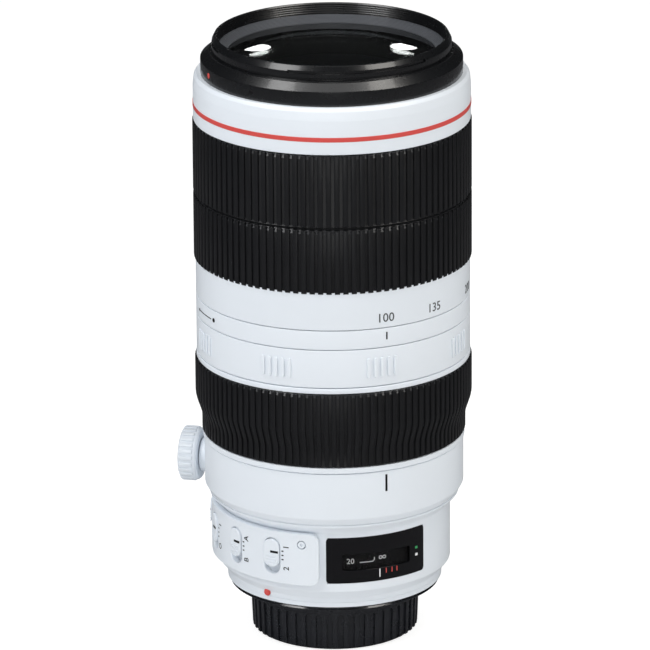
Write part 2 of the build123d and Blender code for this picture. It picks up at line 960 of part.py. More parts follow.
def focus_rubber():
    """The ribbed focus grip, tapered at the rear."""
    levels = (
        (focus_tail_radius, focus_low),
        (focus_tail_radius, focus_lip_top + taper_low),
        (focus_rubber_radius, focus_lip_top + taper_high),
        (focus_rubber_radius, focus_top),
    )
    faces = [rib_outline(radius, focus_rib_depth, focus_rib_count, rib_land_share, height)
             for radius, height in levels]
    ribs = loft(faces, ruled=True)
    core = turned(
        (0, focus_low - overrun),
        (focus_tail_shell_radius, focus_low - overrun),
        (focus_tail_shell_radius, focus_lip_top + taper_low),
        (focus_shell_radius, focus_lip_top + taper_high),
        (focus_shell_radius, focus_top + overrun),
        (0, focus_top + overrun),
    )
    return ribs - core


# Inner frame: the fixed tube on the mount that carries the rear lenses, motor and focus cell
frame_radius = grip_radius * frame_share
frame_bore = rear_glass_radius + fit_gap
frame_foot = 1.5
motor_shelf = 2.0
motor_gap = 0.8
motor_shelf_lift = 38.0
stator_height = 6.0
rotor_gap = 0.3
rotor_height = 5.0
rotor_track = 5.5
bearing_wall = 1.9
lens_seat_wall = 1.5
rear_lens_lift = 8.0
rear_lens_edge = 6.0
second_lens_lift = 24.0
second_lens_edge = 4.0
drum_wall = 0.7
drum_low_lift = 12.0
drum_height = 14.5
drum_arm_angle = 14.0
drum_arm_count = 3
sleeve_inset = 3.0
sleeve_wall = 1.2
cell_pin_radius = 1.5
cell_pin_lift = 57.0
focus_cell_low_lift = 52.0
focus_cell_height = 20.6
focus_lens_lift = 67.6
focus_lens_edge = 3.6
cell_wall = 1.8

motor_shelf_low = flange_z + motor_shelf_lift
stator_low = motor_shelf_low + motor_shelf
stator_top = stator_low + stator_height
rotor_low = stator_top + rotor_gap
rotor_top = rotor_low + rotor_height
drum_radius = housing_bore - side_gap
drum_bore = drum_radius - drum_wall
motor_radius = drum_bore - motor_gap
bearing_radius = motor_radius - rotor_track
sleeve_radius = drum_bore - sleeve_inset
cell_pin_z = flange_z + cell_pin_lift
sleeve_top = cell_pin_z + focus_travel + 2 * cell_pin_radius + thin_wall
frame_top_z = flange_z + focus_lens_lift - tube_wall
cell_bore = frame_radius + running_gap


def inner_frame():
    """The fixed inner tube."""
    foot_low = flange_z + mount_plate - fit_gap
    tube_solid = turned(
        (frame_bore, foot_low),
        (plate_foot_radius, foot_low),
        (plate_foot_radius, foot_low + frame_foot),
        (frame_radius, foot_low + frame_foot),
        (frame_radius, motor_shelf_low),
        (motor_radius, motor_shelf_low),
        (motor_radius, stator_low),
        (frame_radius, stator_low),
        (frame_radius, frame_top_z),
        (frame_bore, frame_top_z),
    )
    return tube_solid


def rear_glass():
    """Two rear elements in the inner frame."""
    first = flange_z + rear_lens_lift
    second = flange_z + second_lens_lift
    low = lens_element(rear_glass_radius, first, first + rear_lens_edge, lens_seat_wall, lens_seat_wall)
    high = lens_element(rear_glass_radius, second, second + second_lens_edge, 0, lens_seat_wall)
    return Compound([low, high])


def motor_stator():
    """The ring motor's stator with the rotor's bearing sleeve."""
    return turned(
        (bearing_radius - bearing_wall, stator_low),
        (motor_radius, stator_low),
        (motor_radius, stator_top),
        (bearing_radius, stator_top),
        (bearing_radius, rotor_top),
        (bearing_radius - bearing_wall, rotor_top),
    )


def motor_rotor():
    """The ring motor's rotor, with the helical sleeve that moves the focus cell."""
    solid = turned(
        (bearing_radius + running_gap, rotor_low),
        (drum_bore, rotor_low),
        (drum_bore, rotor_top),
        (sleeve_radius, rotor_top),
        (sleeve_radius, sleeve_top),
        (sleeve_radius - sleeve_wall, sleeve_top),
        (sleeve_radius - sleeve_wall, rotor_top),
        (bearing_radius + running_gap, rotor_top),
    )
    cutters = []
    for angle in around(follower_count):
        cutters += helical_slot(sleeve_radius - sleeve_wall - overrun, sleeve_radius + overrun, cell_pin_z,
                                focus_travel, -focus_angle, 2 * (cell_pin_radius + running_gap), angle)
    return cut_all(solid, cutters)


def distance_scale():
    """The scale drum behind the window, hung from the rotor by three arms."""
    low = flange_z + drum_low_lift
    solid = tube(drum_radius, drum_bore, low, rotor_top)
    gap_angle = 360 / drum_arm_count - drum_arm_angle
    gaps = [sector(drum_radius + overrun, drum_bore - overrun, low + drum_height, rotor_low,
                   angle + drum_arm_angle / 2, angle + drum_arm_angle / 2 + gap_angle)
            for angle in around(drum_arm_count)]
    return cut_all(solid, gaps)


def focus_cell():
    """The focus lens cell, which slides on the inner frame."""
    low = flange_z + focus_cell_low_lift
    high = low + focus_cell_height
    seat_low = flange_z + focus_lens_lift
    outer = cell_bore + cell_wall
    seat = focus_glass_radius + fit_gap
    cell = turned(
        (cell_bore, low),
        (outer, low),
        (outer, high),
        (seat, high),
        (seat, seat_low),
        (cell_bore, seat_low - fit_gap),
    )
    for angle in around(follower_count):
        reach = sleeve_radius - fit_gap
        cell += radial_rod(cell_pin_radius, angle, outer - fit_gap, reach, cell_pin_z)
    return cell


def focus_glass():
    """The focus element."""
    low = flange_z + focus_lens_lift
    return lens_element(focus_glass_radius, low, low + focus_lens_edge, 0, 0)


# Stabiliser: base, cross frame and moving lens cell
stabiliser_lift = 16.9
stabiliser_height = 14.0
stabiliser_wall = 2.2
stabiliser_floor = 1.6
stabiliser_light = grip_radius * stabiliser_light_share
frame_ring_height = 8.0
frame_ring_wall = 4.0
cell_ring_height = 6.0
seat_fit = inner_bore - fit_gap

stabiliser_low = guide_low + stabiliser_lift
stabiliser_frame_low = stabiliser_low + stabiliser_floor + side_gap
stabiliser_room = stabiliser_travel + side_gap
stabiliser_frame_radius = seat_fit - stabiliser_wall - stabiliser_room
stabiliser_cell_radius = stabiliser_frame_radius - frame_ring_wall - stabiliser_room


def stabiliser_base():
    """The fixed housing of the stabiliser."""
    cup = tube(seat_fit, stabiliser_light, stabiliser_low, stabiliser_low + stabiliser_height)
    room = disc(seat_fit - stabiliser_wall, stabiliser_low + stabiliser_floor,
                stabiliser_low + stabiliser_height + overrun)
    return cup - room


def stabiliser_frame():
    """The cross frame, which moves sideways."""
    inner = stabiliser_frame_radius - frame_ring_wall
    high = stabiliser_frame_low + frame_ring_height
    return tube(stabiliser_frame_radius, inner, stabiliser_frame_low, high)


def stabiliser_cell():
    """The lens cell, which moves fore and aft in the cross frame."""
    low = stabiliser_frame_low + (frame_ring_height - cell_ring_height) / 2
    seat = stabiliser_glass_radius + fit_gap
    return tube(stabiliser_cell_radius, seat, low, low + cell_ring_height)


def stabiliser_glass():
    """The stabiliser element."""
    low = stabiliser_frame_low + (frame_ring_height - cell_ring_height) / 2
    return lens_element(stabiliser_glass_radius, low + tube_wall, low + cell_ring_height - tube_wall, 0, 0)


# Iris: housing with pivot pins, nine blades in layers, and the drive ring
iris_lift = 4.0
iris_height = 10.0
iris_wall = 2.4
iris_floor = 1.2
iris_light_margin = 0.5
blade_count = 9
blade_thick = 0.22
blade_pitch = 0.44
blade_width = 8.0
blade_span = 80.0
blade_edge = 2.5
blade_pin_spacing = 5.0
blade_pin_inset = 2.55
blade_tab_half = 1.9
pivot_radius = 0.8
drive_pin_radius = 0.5
drive_ring_height = 1.2
drive_ring_lap = 2.0
drive_slot_length = 2.4
drive_slot_width = 1.6

iris_low = stabiliser_low + stabiliser_height + iris_lift
blade_low = iris_low + iris_floor + side_gap
iris_bore = seat_fit - iris_wall
blade_pin_reach = iris_bore - blade_pin_inset
blade_pivot_reach = blade_pin_reach - blade_pin_spacing
blade_outer = blade_pivot_reach - blade_edge
blade_inner = blade_outer - blade_width
iris_light = blade_inner - iris_light_margin
drive_ring_inner = blade_inner + drive_ring_lap
drive_ring_low = blade_low + blade_pitch * blade_count + side_gap
drive_ring_top = drive_ring_low + drive_ring_height


def iris_housing():
    """The iris plate with its wall and nine pivot pins."""
    cup = tube(seat_fit, iris_light, iris_low, iris_low + iris_height)
    room = disc(iris_bore, iris_low + iris_floor, iris_low + iris_height + overrun)
    plate = cup - room
    for angle in around(blade_count):
        plate += upright_rod(pivot_radius, angle, blade_pivot_reach, iris_low + iris_floor / 2,
                             drive_ring_low - side_gap / 2)
    return plate


def iris_ring():
    """The ring that turns all the blades."""
    ring = tube(iris_bore - running_gap, drive_ring_inner, drive_ring_low, drive_ring_top)
    slots = [block(drive_slot_width, drive_slot_length, 2 * drive_ring_height + overrun, angle,
                   blade_pin_reach - drive_slot_length / 2, drive_ring_low - drive_ring_height / 2)
             for angle in around(blade_count)]
    return cut_all(ring, slots)


def iris_blade(index):
    """One blade, in its own layer, with its drive pin."""
    low = blade_low + blade_pitch * index
    high = low + blade_thick
    angle = 360 / blade_count * index
    lean = math.degrees(blade_tab_half / blade_pivot_reach)
    blade = sector(blade_outer, blade_inner, low, high, angle - lean, angle + blade_span)
    tab_length = blade_pin_reach + blade_tab_half / 2 - blade_inner
    blade += block(2 * blade_tab_half, tab_length, blade_thick, angle, blade_inner + tube_wall, low)
    blade += upright_rod(drive_pin_radius, angle, blade_pin_reach, low, drive_ring_top)
    return blade - upright_rod(pivot_radius + running_gap, angle, blade_pivot_reach, low - overrun, high + overrun)


# Variator: the lens cell that moves inside the guide barrel
variator_lift = 6.0
variator_height = 22.0
variator_land = 3.0
variator_relief = 0.8
variator_lens_lift = 6.0
variator_lens_edge = 8.0

variator_low = iris_low + iris_height + variator_lift


def variator_cell():
    """The variator's cell, with two lands that slide in the guide barrel."""
    outer = inner_bore - running_gap
    high = variator_low + variator_height
    seat = variator_glass_radius + fit_gap
    return turned(
        (seat, variator_low),
        (outer, variator_low),
        (outer, variator_low + variator_land),
        (outer - variator_relief, variator_low + variator_land),
        (outer - variator_relief, high - variator_land),
        (outer, high - variator_land),
        (outer, high),
        (seat, high),
    )


def variator_glass():
    """The variator element."""
    low = variator_low + variator_lens_lift
    return lens_element(variator_glass_radius, low, low + variator_lens_edge, variator_land, 0)


# Tripod collar: ring with the lock's boss and the foot's platform, lock knob and brake shoe
knob_angle = -126.5
knob_height_share = 0.39
knob_boss_radius = 6.0
knob_boss_rise = 2.2
knob_radius = 9.5
knob_thick = 6.6
knob_smooth = 1.3
knob_flute_count = 26
knob_flute_radius = 0.8
knob_stem_radius = 2.5
knob_dish_radius = 6.5
knob_dish_depth = 0.6
shoe_radius = 3.6
shoe_length = 2.2
platform_width = 24.0
platform_depth = 6.0
platform_margin = 1.2
rail_width = 14.0
rail_neck = 9.0
rail_height = 3.0
foot_arm_width = 20.0
foot_arm_depth = 15.0
foot_gap_fit = 0.1
sole_width = 30.0
sole_depth = 6.0
sole_length = 62.0
sole_drop = 4.0
sole_corner = 6.0
tripod_thread_radius = 2.6
tripod_thread_length = 5.0
foot_screw_radius = 6.5
foot_screw_head = 7.0
foot_screw_stem = 2.5
foot_screw_flutes = 18
foot_screw_reach_share = 0.45

collar_bore = collar_seat_radius + running_gap
knob_boss_reach = collar_radius + knob_boss_rise
knob_z = collar_low + (collar_top - collar_low) * knob_height_share
platform_low = collar_low + collar_chamfer_axial + platform_margin
platform_top = collar_top - platform_margin
platform_height = platform_top - platform_low
platform_reach = collar_radius + platform_depth
shoe_low = collar_bore + shoe_travel + fit_gap
foot_reach = platform_reach + foot_arm_depth
foot_screw_z = platform_low + platform_height / 2
foot_screw_reach = platform_reach + foot_arm_depth * foot_screw_reach_share


def collar_ring():
    """The tripod collar's ring."""
    low_radius = collar_radius - collar_chamfer_radial
    ring = turned(
        (collar_bore, collar_low),
        (low_radius, collar_low),
        (collar_radius, collar_low + collar_chamfer_axial),
        (collar_radius, collar_top),
        (collar_bore, collar_top),
    )
    ring += radial_rod(knob_boss_radius, knob_angle, collar_bore + outer_wall, knob_boss_reach, knob_z)
    ring += block(platform_width, platform_reach - collar_bore - outer_wall, platform_height, 180,
                  collar_bore + outer_wall, platform_low)
    rail = block(rail_neck, rail_height, platform_height, 180, platform_reach, platform_low)
    ring += rail
    cap_low = platform_reach + rail_height / 2
    ring += block(rail_width, rail_height / 2, platform_height, 180, cap_low, platform_low)
    shoe_room = radial_rod(shoe_radius + running_gap, knob_angle, collar_bore - overrun,
                           shoe_low + shoe_length + 2 * side_gap, knob_z)
    stem_room = radial_rod(knob_stem_radius + running_gap, knob_angle, collar_bore - overrun,
                           knob_boss_reach + overrun, knob_z)
    return cut_all(ring, [shoe_room, stem_room])


def lock_knob():
    """The collar's fluted lock knob with its threaded stem."""
    inner = knob_boss_reach + side_gap
    outer = inner + knob_thick
    knob = radial_rod(knob_radius, knob_angle, inner, outer, knob_z)
    edge = knob.edges().filter_by(GeomType.CIRCLE)
    knob = fillet(edge, knob_flute_radius / 2)
    flutes = []
    plane = outward(knob_angle, inner + knob_smooth, knob_z)
    for angle in around(knob_flute_count):
        sine = math.sin(math.radians(angle)) * (knob_radius + knob_flute_radius / 3)
        cosine = math.cos(math.radians(angle)) * (knob_radius + knob_flute_radius / 3)
        flute = Cylinder(knob_flute_radius, knob_thick, align=(Align.CENTER, Align.CENTER, Align.MIN))
        flutes.append(plane * Pos(sine, cosine, 0) * flute)
    knob = cut_all(knob, flutes)
    knob -= radial_rod(knob_dish_radius, knob_angle, outer - knob_dish_depth, outer + overrun, knob_z)
    stem_inner = shoe_low + shoe_length + side_gap
    knob += radial_rod(knob_stem_radius, knob_angle, stem_inner, inner + overrun, knob_z)
    return knob


def brake_shoe():
    """The pad that the knob presses on the collar's seat."""
    return radial_rod(shoe_radius, knob_angle, shoe_low, shoe_low + shoe_length, knob_z)


def tripod_foot():
    """The detachable foot: an arm on the collar's rail and a long sole with a tripod thread."""
    arm = block(foot_arm_width, foot_arm_depth, platform_height, 180, platform_reach + foot_gap_fit,
                platform_low)
    slot_high = rail_height / 2 + foot_gap_fit
    neck = block(rail_neck + 2 * foot_gap_fit, slot_high + overrun, platform_height + 2 * overrun, 180,
                 platform_reach - overrun + foot_gap_fit, platform_low - overrun)
    channel = block(rail_width + 2 * foot_gap_fit, rail_height / 2 + 2 * foot_gap_fit,
                    platform_height + 2 * overrun, 180, platform_reach + rail_height / 2 - foot_gap_fit,
                    platform_low - overrun)
    arm = cut_all(arm, [neck, channel])
    sole = Box(sole_width, sole_length, sole_depth, align=(Align.CENTER, Align.MIN, Align.MIN))
    sole = fillet(sole.edges().filter_by(Axis.Z), sole_corner)
    sole = outward(180, foot_reach, platform_low - sole_drop) * sole
    foot = arm + sole
    middle = platform_low - sole_drop + sole_length / 2
    thread = radial_rod(tripod_thread_radius, 180, foot_reach + sole_depth - tripod_thread_length,
                        foot_reach + sole_depth + overrun, middle)
    hole = Pos(0, foot_screw_reach, foot_screw_z) * Rot(0, 90, 0) * Cylinder(
        foot_screw_stem + running_gap, foot_arm_width + 2 * overrun)
    return cut_all(foot, [thread, hole])


def foot_screw():
    """The thumb screw that clamps the foot to the rail."""
    side = Pos(foot_arm_width / 2 + side_gap, foot_screw_reach, foot_screw_z) * Rot(0, 90, 0)
    head = side * Cylinder(foot_screw_radius, foot_screw_head, align=(Align.CENTER, Align.CENTER, Align.MIN))
    flutes = []
    for angle in around(foot_screw_flutes):
        sine = math.sin(math.radians(angle)) * foot_screw_radius
        cosine = math.cos(math.radians(angle)) * foot_screw_radius
        flute = Cylinder(knob_flute_radius / 2, foot_screw_head, align=(Align.CENTER, Align.CENTER, Align.MIN))
        flutes.append(side * Pos(sine, cosine, knob_smooth / 2) * flute)
    head = cut_all(head, flutes)
    stem_length = foot_arm_width + 2 * side_gap
    stem = Pos(foot_arm_width / 2 + 2 * side_gap, foot_screw_reach, foot_screw_z) * Rot(0, -90, 0) * Cylinder(
        foot_screw_stem, stem_length, align=(Align.CENTER, Align.CENTER, Align.MIN))
    return head + stem


def main():
    """Build and write every node."""
    os.makedirs("parts", exist_ok=True)
    makers = (
        bayonet_mount, rear_cap, mount_gasket, contact_block, contact_pins, main_board,
        window_bezel, window_pane, rear_housing, switch_panel, screws,
        collar_seat, outer_barrel, index_ring, guide_barrel,
        zoom_shell, zoom_rubber, cam_barrel,
        extension_tube, cam_followers, front_band, hood_mount_ring, front_cell, front_glass,
        tension_ring, focus_shell, focus_rubber,
        inner_frame, rear_glass, motor_stator, motor_rotor, distance_scale, focus_cell, focus_glass,
        stabiliser_base, stabiliser_frame, stabiliser_cell, stabiliser_glass,
        iris_housing, iris_ring, variator_cell, variator_glass,
        collar_ring, lock_knob, brake_shoe, tripod_foot, foot_screw,
    )
    for maker in makers:
        save(maker.__name__, maker())
    names = ("range_switch", "focus_switch", "stabiliser_switch", "mode_switch")
    travels = (switch_travel, switch_travel, switch_travel, mode_travel)
    for name, angle, travel in zip(names, switch_angles, travels):
        save(name, switch_button(angle, travel))
    for index in range(blade_count):
        save(f"iris_blade_{index + 1}", iris_blade(index))


main()
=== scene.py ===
"""The white telephoto zoom lens, dressed for its portrait.

Every size below is a millimetre until a mesh is made, when it becomes metres. The optical axis is
+Z, the index marks face -Y, and an angle round the barrel is measured from them, towards +X.
"""

from __future__ import annotations

import json
import logging
import math
from dataclasses import dataclass, field
from enum import Enum
from typing import Callable, Sequence

import bmesh
import bpy
from mathutils import Matrix, Vector


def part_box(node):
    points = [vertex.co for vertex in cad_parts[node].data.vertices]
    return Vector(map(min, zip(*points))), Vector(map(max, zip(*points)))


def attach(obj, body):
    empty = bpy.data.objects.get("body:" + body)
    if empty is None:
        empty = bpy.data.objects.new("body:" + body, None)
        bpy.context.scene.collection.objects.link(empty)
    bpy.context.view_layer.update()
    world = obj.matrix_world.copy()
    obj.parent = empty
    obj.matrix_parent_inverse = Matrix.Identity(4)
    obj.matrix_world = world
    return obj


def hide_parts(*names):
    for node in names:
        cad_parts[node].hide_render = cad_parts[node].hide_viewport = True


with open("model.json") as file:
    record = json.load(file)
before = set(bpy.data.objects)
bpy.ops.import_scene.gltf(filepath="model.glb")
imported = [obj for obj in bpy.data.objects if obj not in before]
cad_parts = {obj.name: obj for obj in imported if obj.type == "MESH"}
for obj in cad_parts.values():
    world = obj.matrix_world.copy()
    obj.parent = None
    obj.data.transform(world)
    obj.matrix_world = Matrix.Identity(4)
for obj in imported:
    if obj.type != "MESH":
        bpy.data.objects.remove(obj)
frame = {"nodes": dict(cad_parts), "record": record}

LOG = logging.getLogger("lens")
MM = 0.001
SEGMENTS = 240
CREASE = math.radians(32)
# Thickness of a printed mark, and how far its back stands off the surface.
PRINT_THICK = 0.06
PRINT_LIFT = 0.01
# The largest share of a side that a rounded corner takes.
CAPSULE = 0.49
# In metres: what tidying a mesh merges and drops, and the point that the lamps face.
MERGE_DISTANCE = MM * 0.002
SLIVER_LENGTH = MM * 0.001
LIT_POINT = Vector((0, 0, 0.11))

Point = tuple[float, float]


@dataclass(frozen=True)
class Corner:
    """One corner of an outline: across and up in millimetres, and how far it is rounded."""

    across: float
    up: float
    rounding: float = 0.0


@dataclass(frozen=True)
class Span:
    """The room that a turned node takes: its lowest and highest height and its radius."""

    low: float
    high: float
    radius: float

    @property
    def height(self) -> float:
        """Height from end to end."""
        return self.high - self.low

    @classmethod
    def of(cls, node: str) -> Span:
        """Read a node's span from the frame.

        Args:
            node: The CAD node's name.

        Returns:
            Its span in millimetres.
        """
        low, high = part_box(node)
        return cls(low.z / MM, high.z / MM, (high.x - low.x) / 2 / MM)


def middle_of(node: str, axis: int = 2) -> float:
    """The middle of a CAD node's box along an axis, in millimetres."""
    low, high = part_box(node)
    return (low[axis] + high[axis]) / 2 / MM


def span_of(node: str) -> Span:
    """A dataclass field that holds a node's span."""
    return field(default_factory=lambda: Span.of(node))


class Sock:
    """A shader socket that maths can be written with."""

    def __init__(self, shader: Shader, socket: bpy.types.NodeSocket) -> None:
        """Hold a socket and the tree builder that owns it."""
        self.shader = shader
        self.socket = socket

    def _math(self, operation: str, first: object, second: object) -> Sock:
        """Add one Math node and return its result."""
        node = self.shader.node("ShaderNodeMath", {"operation": operation}, {0: first, 1: second})
        return Sock(self.shader, node.outputs[0])

    def __add__(self, other: object) -> Sock:
        """Sum."""
        return self._math("ADD", self, other)

    __radd__ = __add__

    def __mul__(self, other: object) -> Sock:
        """Product."""
        return self._math("MULTIPLY", self, other)

    __rmul__ = __mul__

    def __gt__(self, other: object) -> Sock:
        """One where this is greater, otherwise zero."""
        return self._math("GREATER_THAN", self, other)


class Shader:
    """Builds one node material."""

    def __init__(self, name: str) -> None:
        """Start an empty node tree.

        Args:
            name: The material's name.
        """
        self.material = bpy.data.materials.new(name)
        self.material.use_nodes = True
        self.tree = self.material.node_tree
        self.tree.nodes.clear()
        self.output = self.tree.nodes.new("ShaderNodeOutputMaterial")

    def node(self, kind: str, settings: dict[str, object] | None = None,
             inputs: dict[object, object] | None = None) -> bpy.types.Node:
        """Add any node.

        Args:
            kind: The node's type name.
            settings: Its own properties, set first.
            inputs: Values or links for its sockets, by name or number.

        Returns:
            The new node.
        """
        made = self.tree.nodes.new(kind)
        for key, value in (settings or {}).items():
            setattr(made, key, value)
        for key, value in (inputs or {}).items():
            if isinstance(value, Sock):
                self.tree.links.new(value.socket, made.inputs[key])
            else:
                made.inputs[key].default_value = value
        return made

    def place(self) -> Sock:
        """Object coordinates, in metres."""
        return Sock(self, self.node("ShaderNodeTexCoord").outputs["Object"])

    def noise(self, scale: float, detail: float = 2.0, stretch: Sequence[float] = (1, 1, 1)) -> Sock:
        """Soft noise over the object.

        Args:
            scale: Features per metre.
            detail: Octaves.
            stretch: How the pattern is scaled along each axis.

        Returns:
            The noise's value.
        """
        mapping = self.node("ShaderNodeMapping", {},
                            {"Vector": self.place(), "Scale": tuple(stretch)})
        made = self.node("ShaderNodeTexNoise", {},
                         {"Vector": Sock(self, mapping.outputs[0]), "Scale": scale, "Detail": detail})
        return Sock(self, made.outputs[0])

    def cells(self, scale: float) -> Sock:
        """Distance to the nearest of many scattered points."""
        made = self.node("ShaderNodeTexVoronoi", {}, {"Vector": self.place(), "Scale": scale})
        return Sock(self, made.outputs["Distance"])

    def mix(self, amount: object, first: Sequence[float] | Sock,
            second: Sequence[float] | Sock) -> Sock:
        """Blend two colours by a mask.

        Args:
            amount: The mask, from 0 to 1.
            first: The colour, or its link, where the mask is 0.
            second: The colour, or its link, where the mask is 1.

        Returns:
            The blended colour.
        """
        inputs = {0: amount}
        for number, colour in ((6, first), (7, second)):
            inputs[number] = colour if isinstance(colour, Sock) else (*colour, 1)
        made = self.node("ShaderNodeMix", {"data_type": "RGBA"}, inputs)
        return Sock(self, made.outputs[2])

    def bump(self, height: Sock, depth: float, strength: float) -> Sock:
        """Turn a height into a surface normal.

        Args:
            height: The height, from 0 to 1.
            depth: How tall 1 is, in metres.
            strength: Share of the effect.

        Returns:
            The normal.
        """
        made = self.node("ShaderNodeBump", {},
                         {"Height": height, "Distance": depth, "Strength": strength})
        return Sock(self, made.outputs[0])

    def surface(self, **sockets: object) -> bpy.types.Material:
        """Finish with a Principled surface.

        Args:
            **sockets: Values or links, with underscores for the spaces in the sockets' names.

        Returns:
            The material.
        """
        inputs = {key.replace("_", " "): value for key, value in sockets.items()}
        made = self.node("ShaderNodeBsdfPrincipled", {}, inputs)
        self.tree.links.new(made.outputs[0], self.output.inputs[0])
        return self.material


@dataclass(frozen=True)
class Finish:
    """A solid finish: paint, plastic, rubber or metal with its grain and its small unevenness."""

    name: str
    colour: tuple[float, float, float]
    roughness: float
    metallic: float = 0.0
    coat: float = 0.0
    mottle: float = 0.04
    mottle_scale: float = 55.0
    grain_scale: float = 2600.0
    grain_depth: float = 0.00001
    grain_strength: float = 0.25
    uneven: float = 0.08
    specular: float = 0.5
    specks: float = 0.0
    speck_scale: float = 900.0
    speck_sharpness: float = 14.0
    speck_cloud_scale: float = 300.0
    rough_scale: float = 190.0
    coat_roughness: float = 0.08
    stretch: tuple[float, float, float] = (1.0, 1.0, 1.0)

    def build(self) -> bpy.types.Material:
        """Make the material.

        Returns:
            The material, or the one made before under this name.
        """
        known = bpy.data.materials.get(self.name)
        if known:
            return known
        shader = Shader(self.name)
        cloud = shader.noise(self.mottle_scale, 3)
        grain = shader.noise(self.grain_scale, 2, self.stretch)
        light = tuple(min(1.0, value * (1 + self.mottle)) for value in self.colour)
        dark = tuple(value * (1 - self.mottle) for value in self.colour)
        colour = shader.mix(cloud, dark, light)
        if self.specks:
            dust = shader.cells(self.speck_scale) * -self.speck_sharpness + 1.0
            mask = (dust > 0.0) * shader.noise(self.speck_cloud_scale, 1) * self.specks
            lint = tuple(min(1.0, value * 2.2 + 0.02) for value in self.colour)
            colour = shader.mix(mask, colour, lint)
        rough = shader.noise(self.rough_scale, 3) * self.uneven + (self.roughness - self.uneven / 2)
        normal = shader.bump(grain, self.grain_depth, self.grain_strength)
        return shader.surface(Base_Color=colour, Roughness=rough, Metallic=self.metallic,
                              Specular_IOR_Level=self.specular, Coat_Weight=self.coat,
                              Coat_Roughness=self.coat_roughness, Normal=normal)


@dataclass(frozen=True)
class Glass:
    """A lens element or window: clear glass with a faint coating tint."""

    name: str
    tint: tuple[float, float, float]
    clear: bool = False
    clear_alpha: float = 0.12
    ior: float = 1.52
    roughness: float = 0.01
    smear: float = 0.02

    def build(self) -> bpy.types.Material:
        """Make the material.

        Returns:
            The material, or the one made before under this name.
        """
        known = bpy.data.materials.get(self.name)
        if known:
            return known
        shader = Shader(self.name)
        smear = shader.noise(60.0, 3) * self.smear + self.roughness
        faded = tuple(value * 0.97 for value in self.tint)
        colour = shader.mix(shader.noise(30.0, 2), self.tint, faded)
        if self.clear:
            return shader.surface(Base_Color=colour, Roughness=smear, IOR=self.ior,
                                  Alpha=self.clear_alpha)
        return shader.surface(Base_Color=colour, Roughness=smear, IOR=self.ior,
                              Transmission_Weight=1.0)


class Finishes(Enum):
    """Every finish on the lens."""

    ENAMEL = Finish("enamel_white", (0.777, 0.826, 0.885), 0.42, coat=0.1, mottle=0.012,
                    grain_scale=2100.0, grain_depth=0.000012, grain_strength=0.22, uneven=0.05)
    GRIP = Finish("ribbed_rubber", (0.007, 0.0075, 0.009), 0.4, mottle=0.18, mottle_scale=120.0,
                  grain_scale=5200.0, grain_depth=0.00001, grain_strength=0.25, uneven=0.1,
                  specular=0.4, specks=0.35)
    # The groove-end ramps: the grip's own black rubber, painted several times lighter as a painted
    # highlight on their upward faces.
    GROOVE_END_HIGHLIGHT = Finish("groove_end_painted_highlight", (0.034, 0.0355, 0.04), 0.42, coat=0.1, mottle=0.1,
                    grain_strength=0.05, uneven=0.04)
    FRONT_BLACK = Finish("satin_black", (0.006, 0.0065, 0.0075), 0.27, coat=0.35, mottle=0.1,
                         grain_scale=4200.0, grain_depth=0.000005, grain_strength=0.15)
    ANODISED = Finish("anodised_black", (0.012, 0.013, 0.014), 0.45, metallic=0.2, mottle=0.12,
                      grain_scale=3200.0, stretch=(1.0, 1.0, 8.0))
    # The stepped retaining ring's mid grey is a painted reflection: it stands in for light reflected
    # off the glass and the ring's steps.
    CONE = Finish("stepped_cone_painted_reflection", (0.1, 0.106, 0.118), 0.38, mottle=0.08)
    BAFFLE = Finish("baffle_black", (0.008, 0.0085, 0.0095), 0.5, mottle=0.08, specular=0.25)
    CAP = Finish("cap_plastic", (0.017, 0.0185, 0.023), 0.28, coat=0.15, mottle=0.12,
                 grain_scale=3600.0, grain_depth=0.00001, grain_strength=0.2)
    GASKET = Finish("gasket_black", (0.012, 0.013, 0.016), 0.16, coat=0.5, mottle=0.1,
                    grain_strength=0.05, uneven=0.04)
    GLOSS = Finish("window_black", (0.004, 0.004, 0.005), 0.12, mottle=0.05,
                   grain_strength=0.04, uneven=0.03, specular=0.4)
    SCALE_DRUM = Finish("scale_drum_black", (0.004, 0.004, 0.005), 0.5, mottle=0.1, specular=0.2)
    RED = Finish("ring_red", (0.66, 0.07, 0.06), 0.38, coat=0.2, mottle=0.05)
    MARK_GREY = Finish("mark_grey", (0.07, 0.075, 0.08), 0.55, mottle=0.06)
    MARK_BLACK = Finish("mark_black", (0.006, 0.006, 0.007), 0.5, mottle=0.06, specular=0.3)
    MARK_WHITE = Finish("mark_white", (0.85, 0.87, 0.88), 0.5, mottle=0.02)
    MARK_GREEN = Finish("mark_green", (0.03, 0.3, 0.1), 0.5, mottle=0.05)
    CHROME = Finish("satin_chrome", (0.6, 0.6, 0.61), 0.24, metallic=1.0, mottle=0.03,
                    grain_scale=1800.0, grain_depth=0.000004, stretch=(1.0, 1.0, 12.0))
    STEEL = Finish("plain_steel", (0.45, 0.45, 0.46), 0.34, metallic=1.0, mottle=0.05)
    GOLD = Finish("contact_gold", (0.83, 0.6, 0.24), 0.25, metallic=1.0, mottle=0.04)
    BOARD = Finish("circuit_green", (0.03, 0.14, 0.07), 0.4, coat=0.3, mottle=0.2,
                   mottle_scale=500.0)
    ELEMENT = Glass("coated_element", (0.82, 0.86, 0.84))
    PANE = Glass("window_clear", (0.02, 0.02, 0.02), clear=True)
    # An opaque near-black disc in place of the inner lenses: painted shade for the dark inside of the
    # barrel seen through the front element.
    DEEP_PAINTED_SHADE = Finish("deep_painted_shade", (0.002, 0.0025, 0.004), 0.5, mottle=0.1,
                  grain_strength=0.0, uneven=0.01, specular=0.2)

    def material(self) -> bpy.types.Material:
        """The finish's material."""
        return self.value.build()


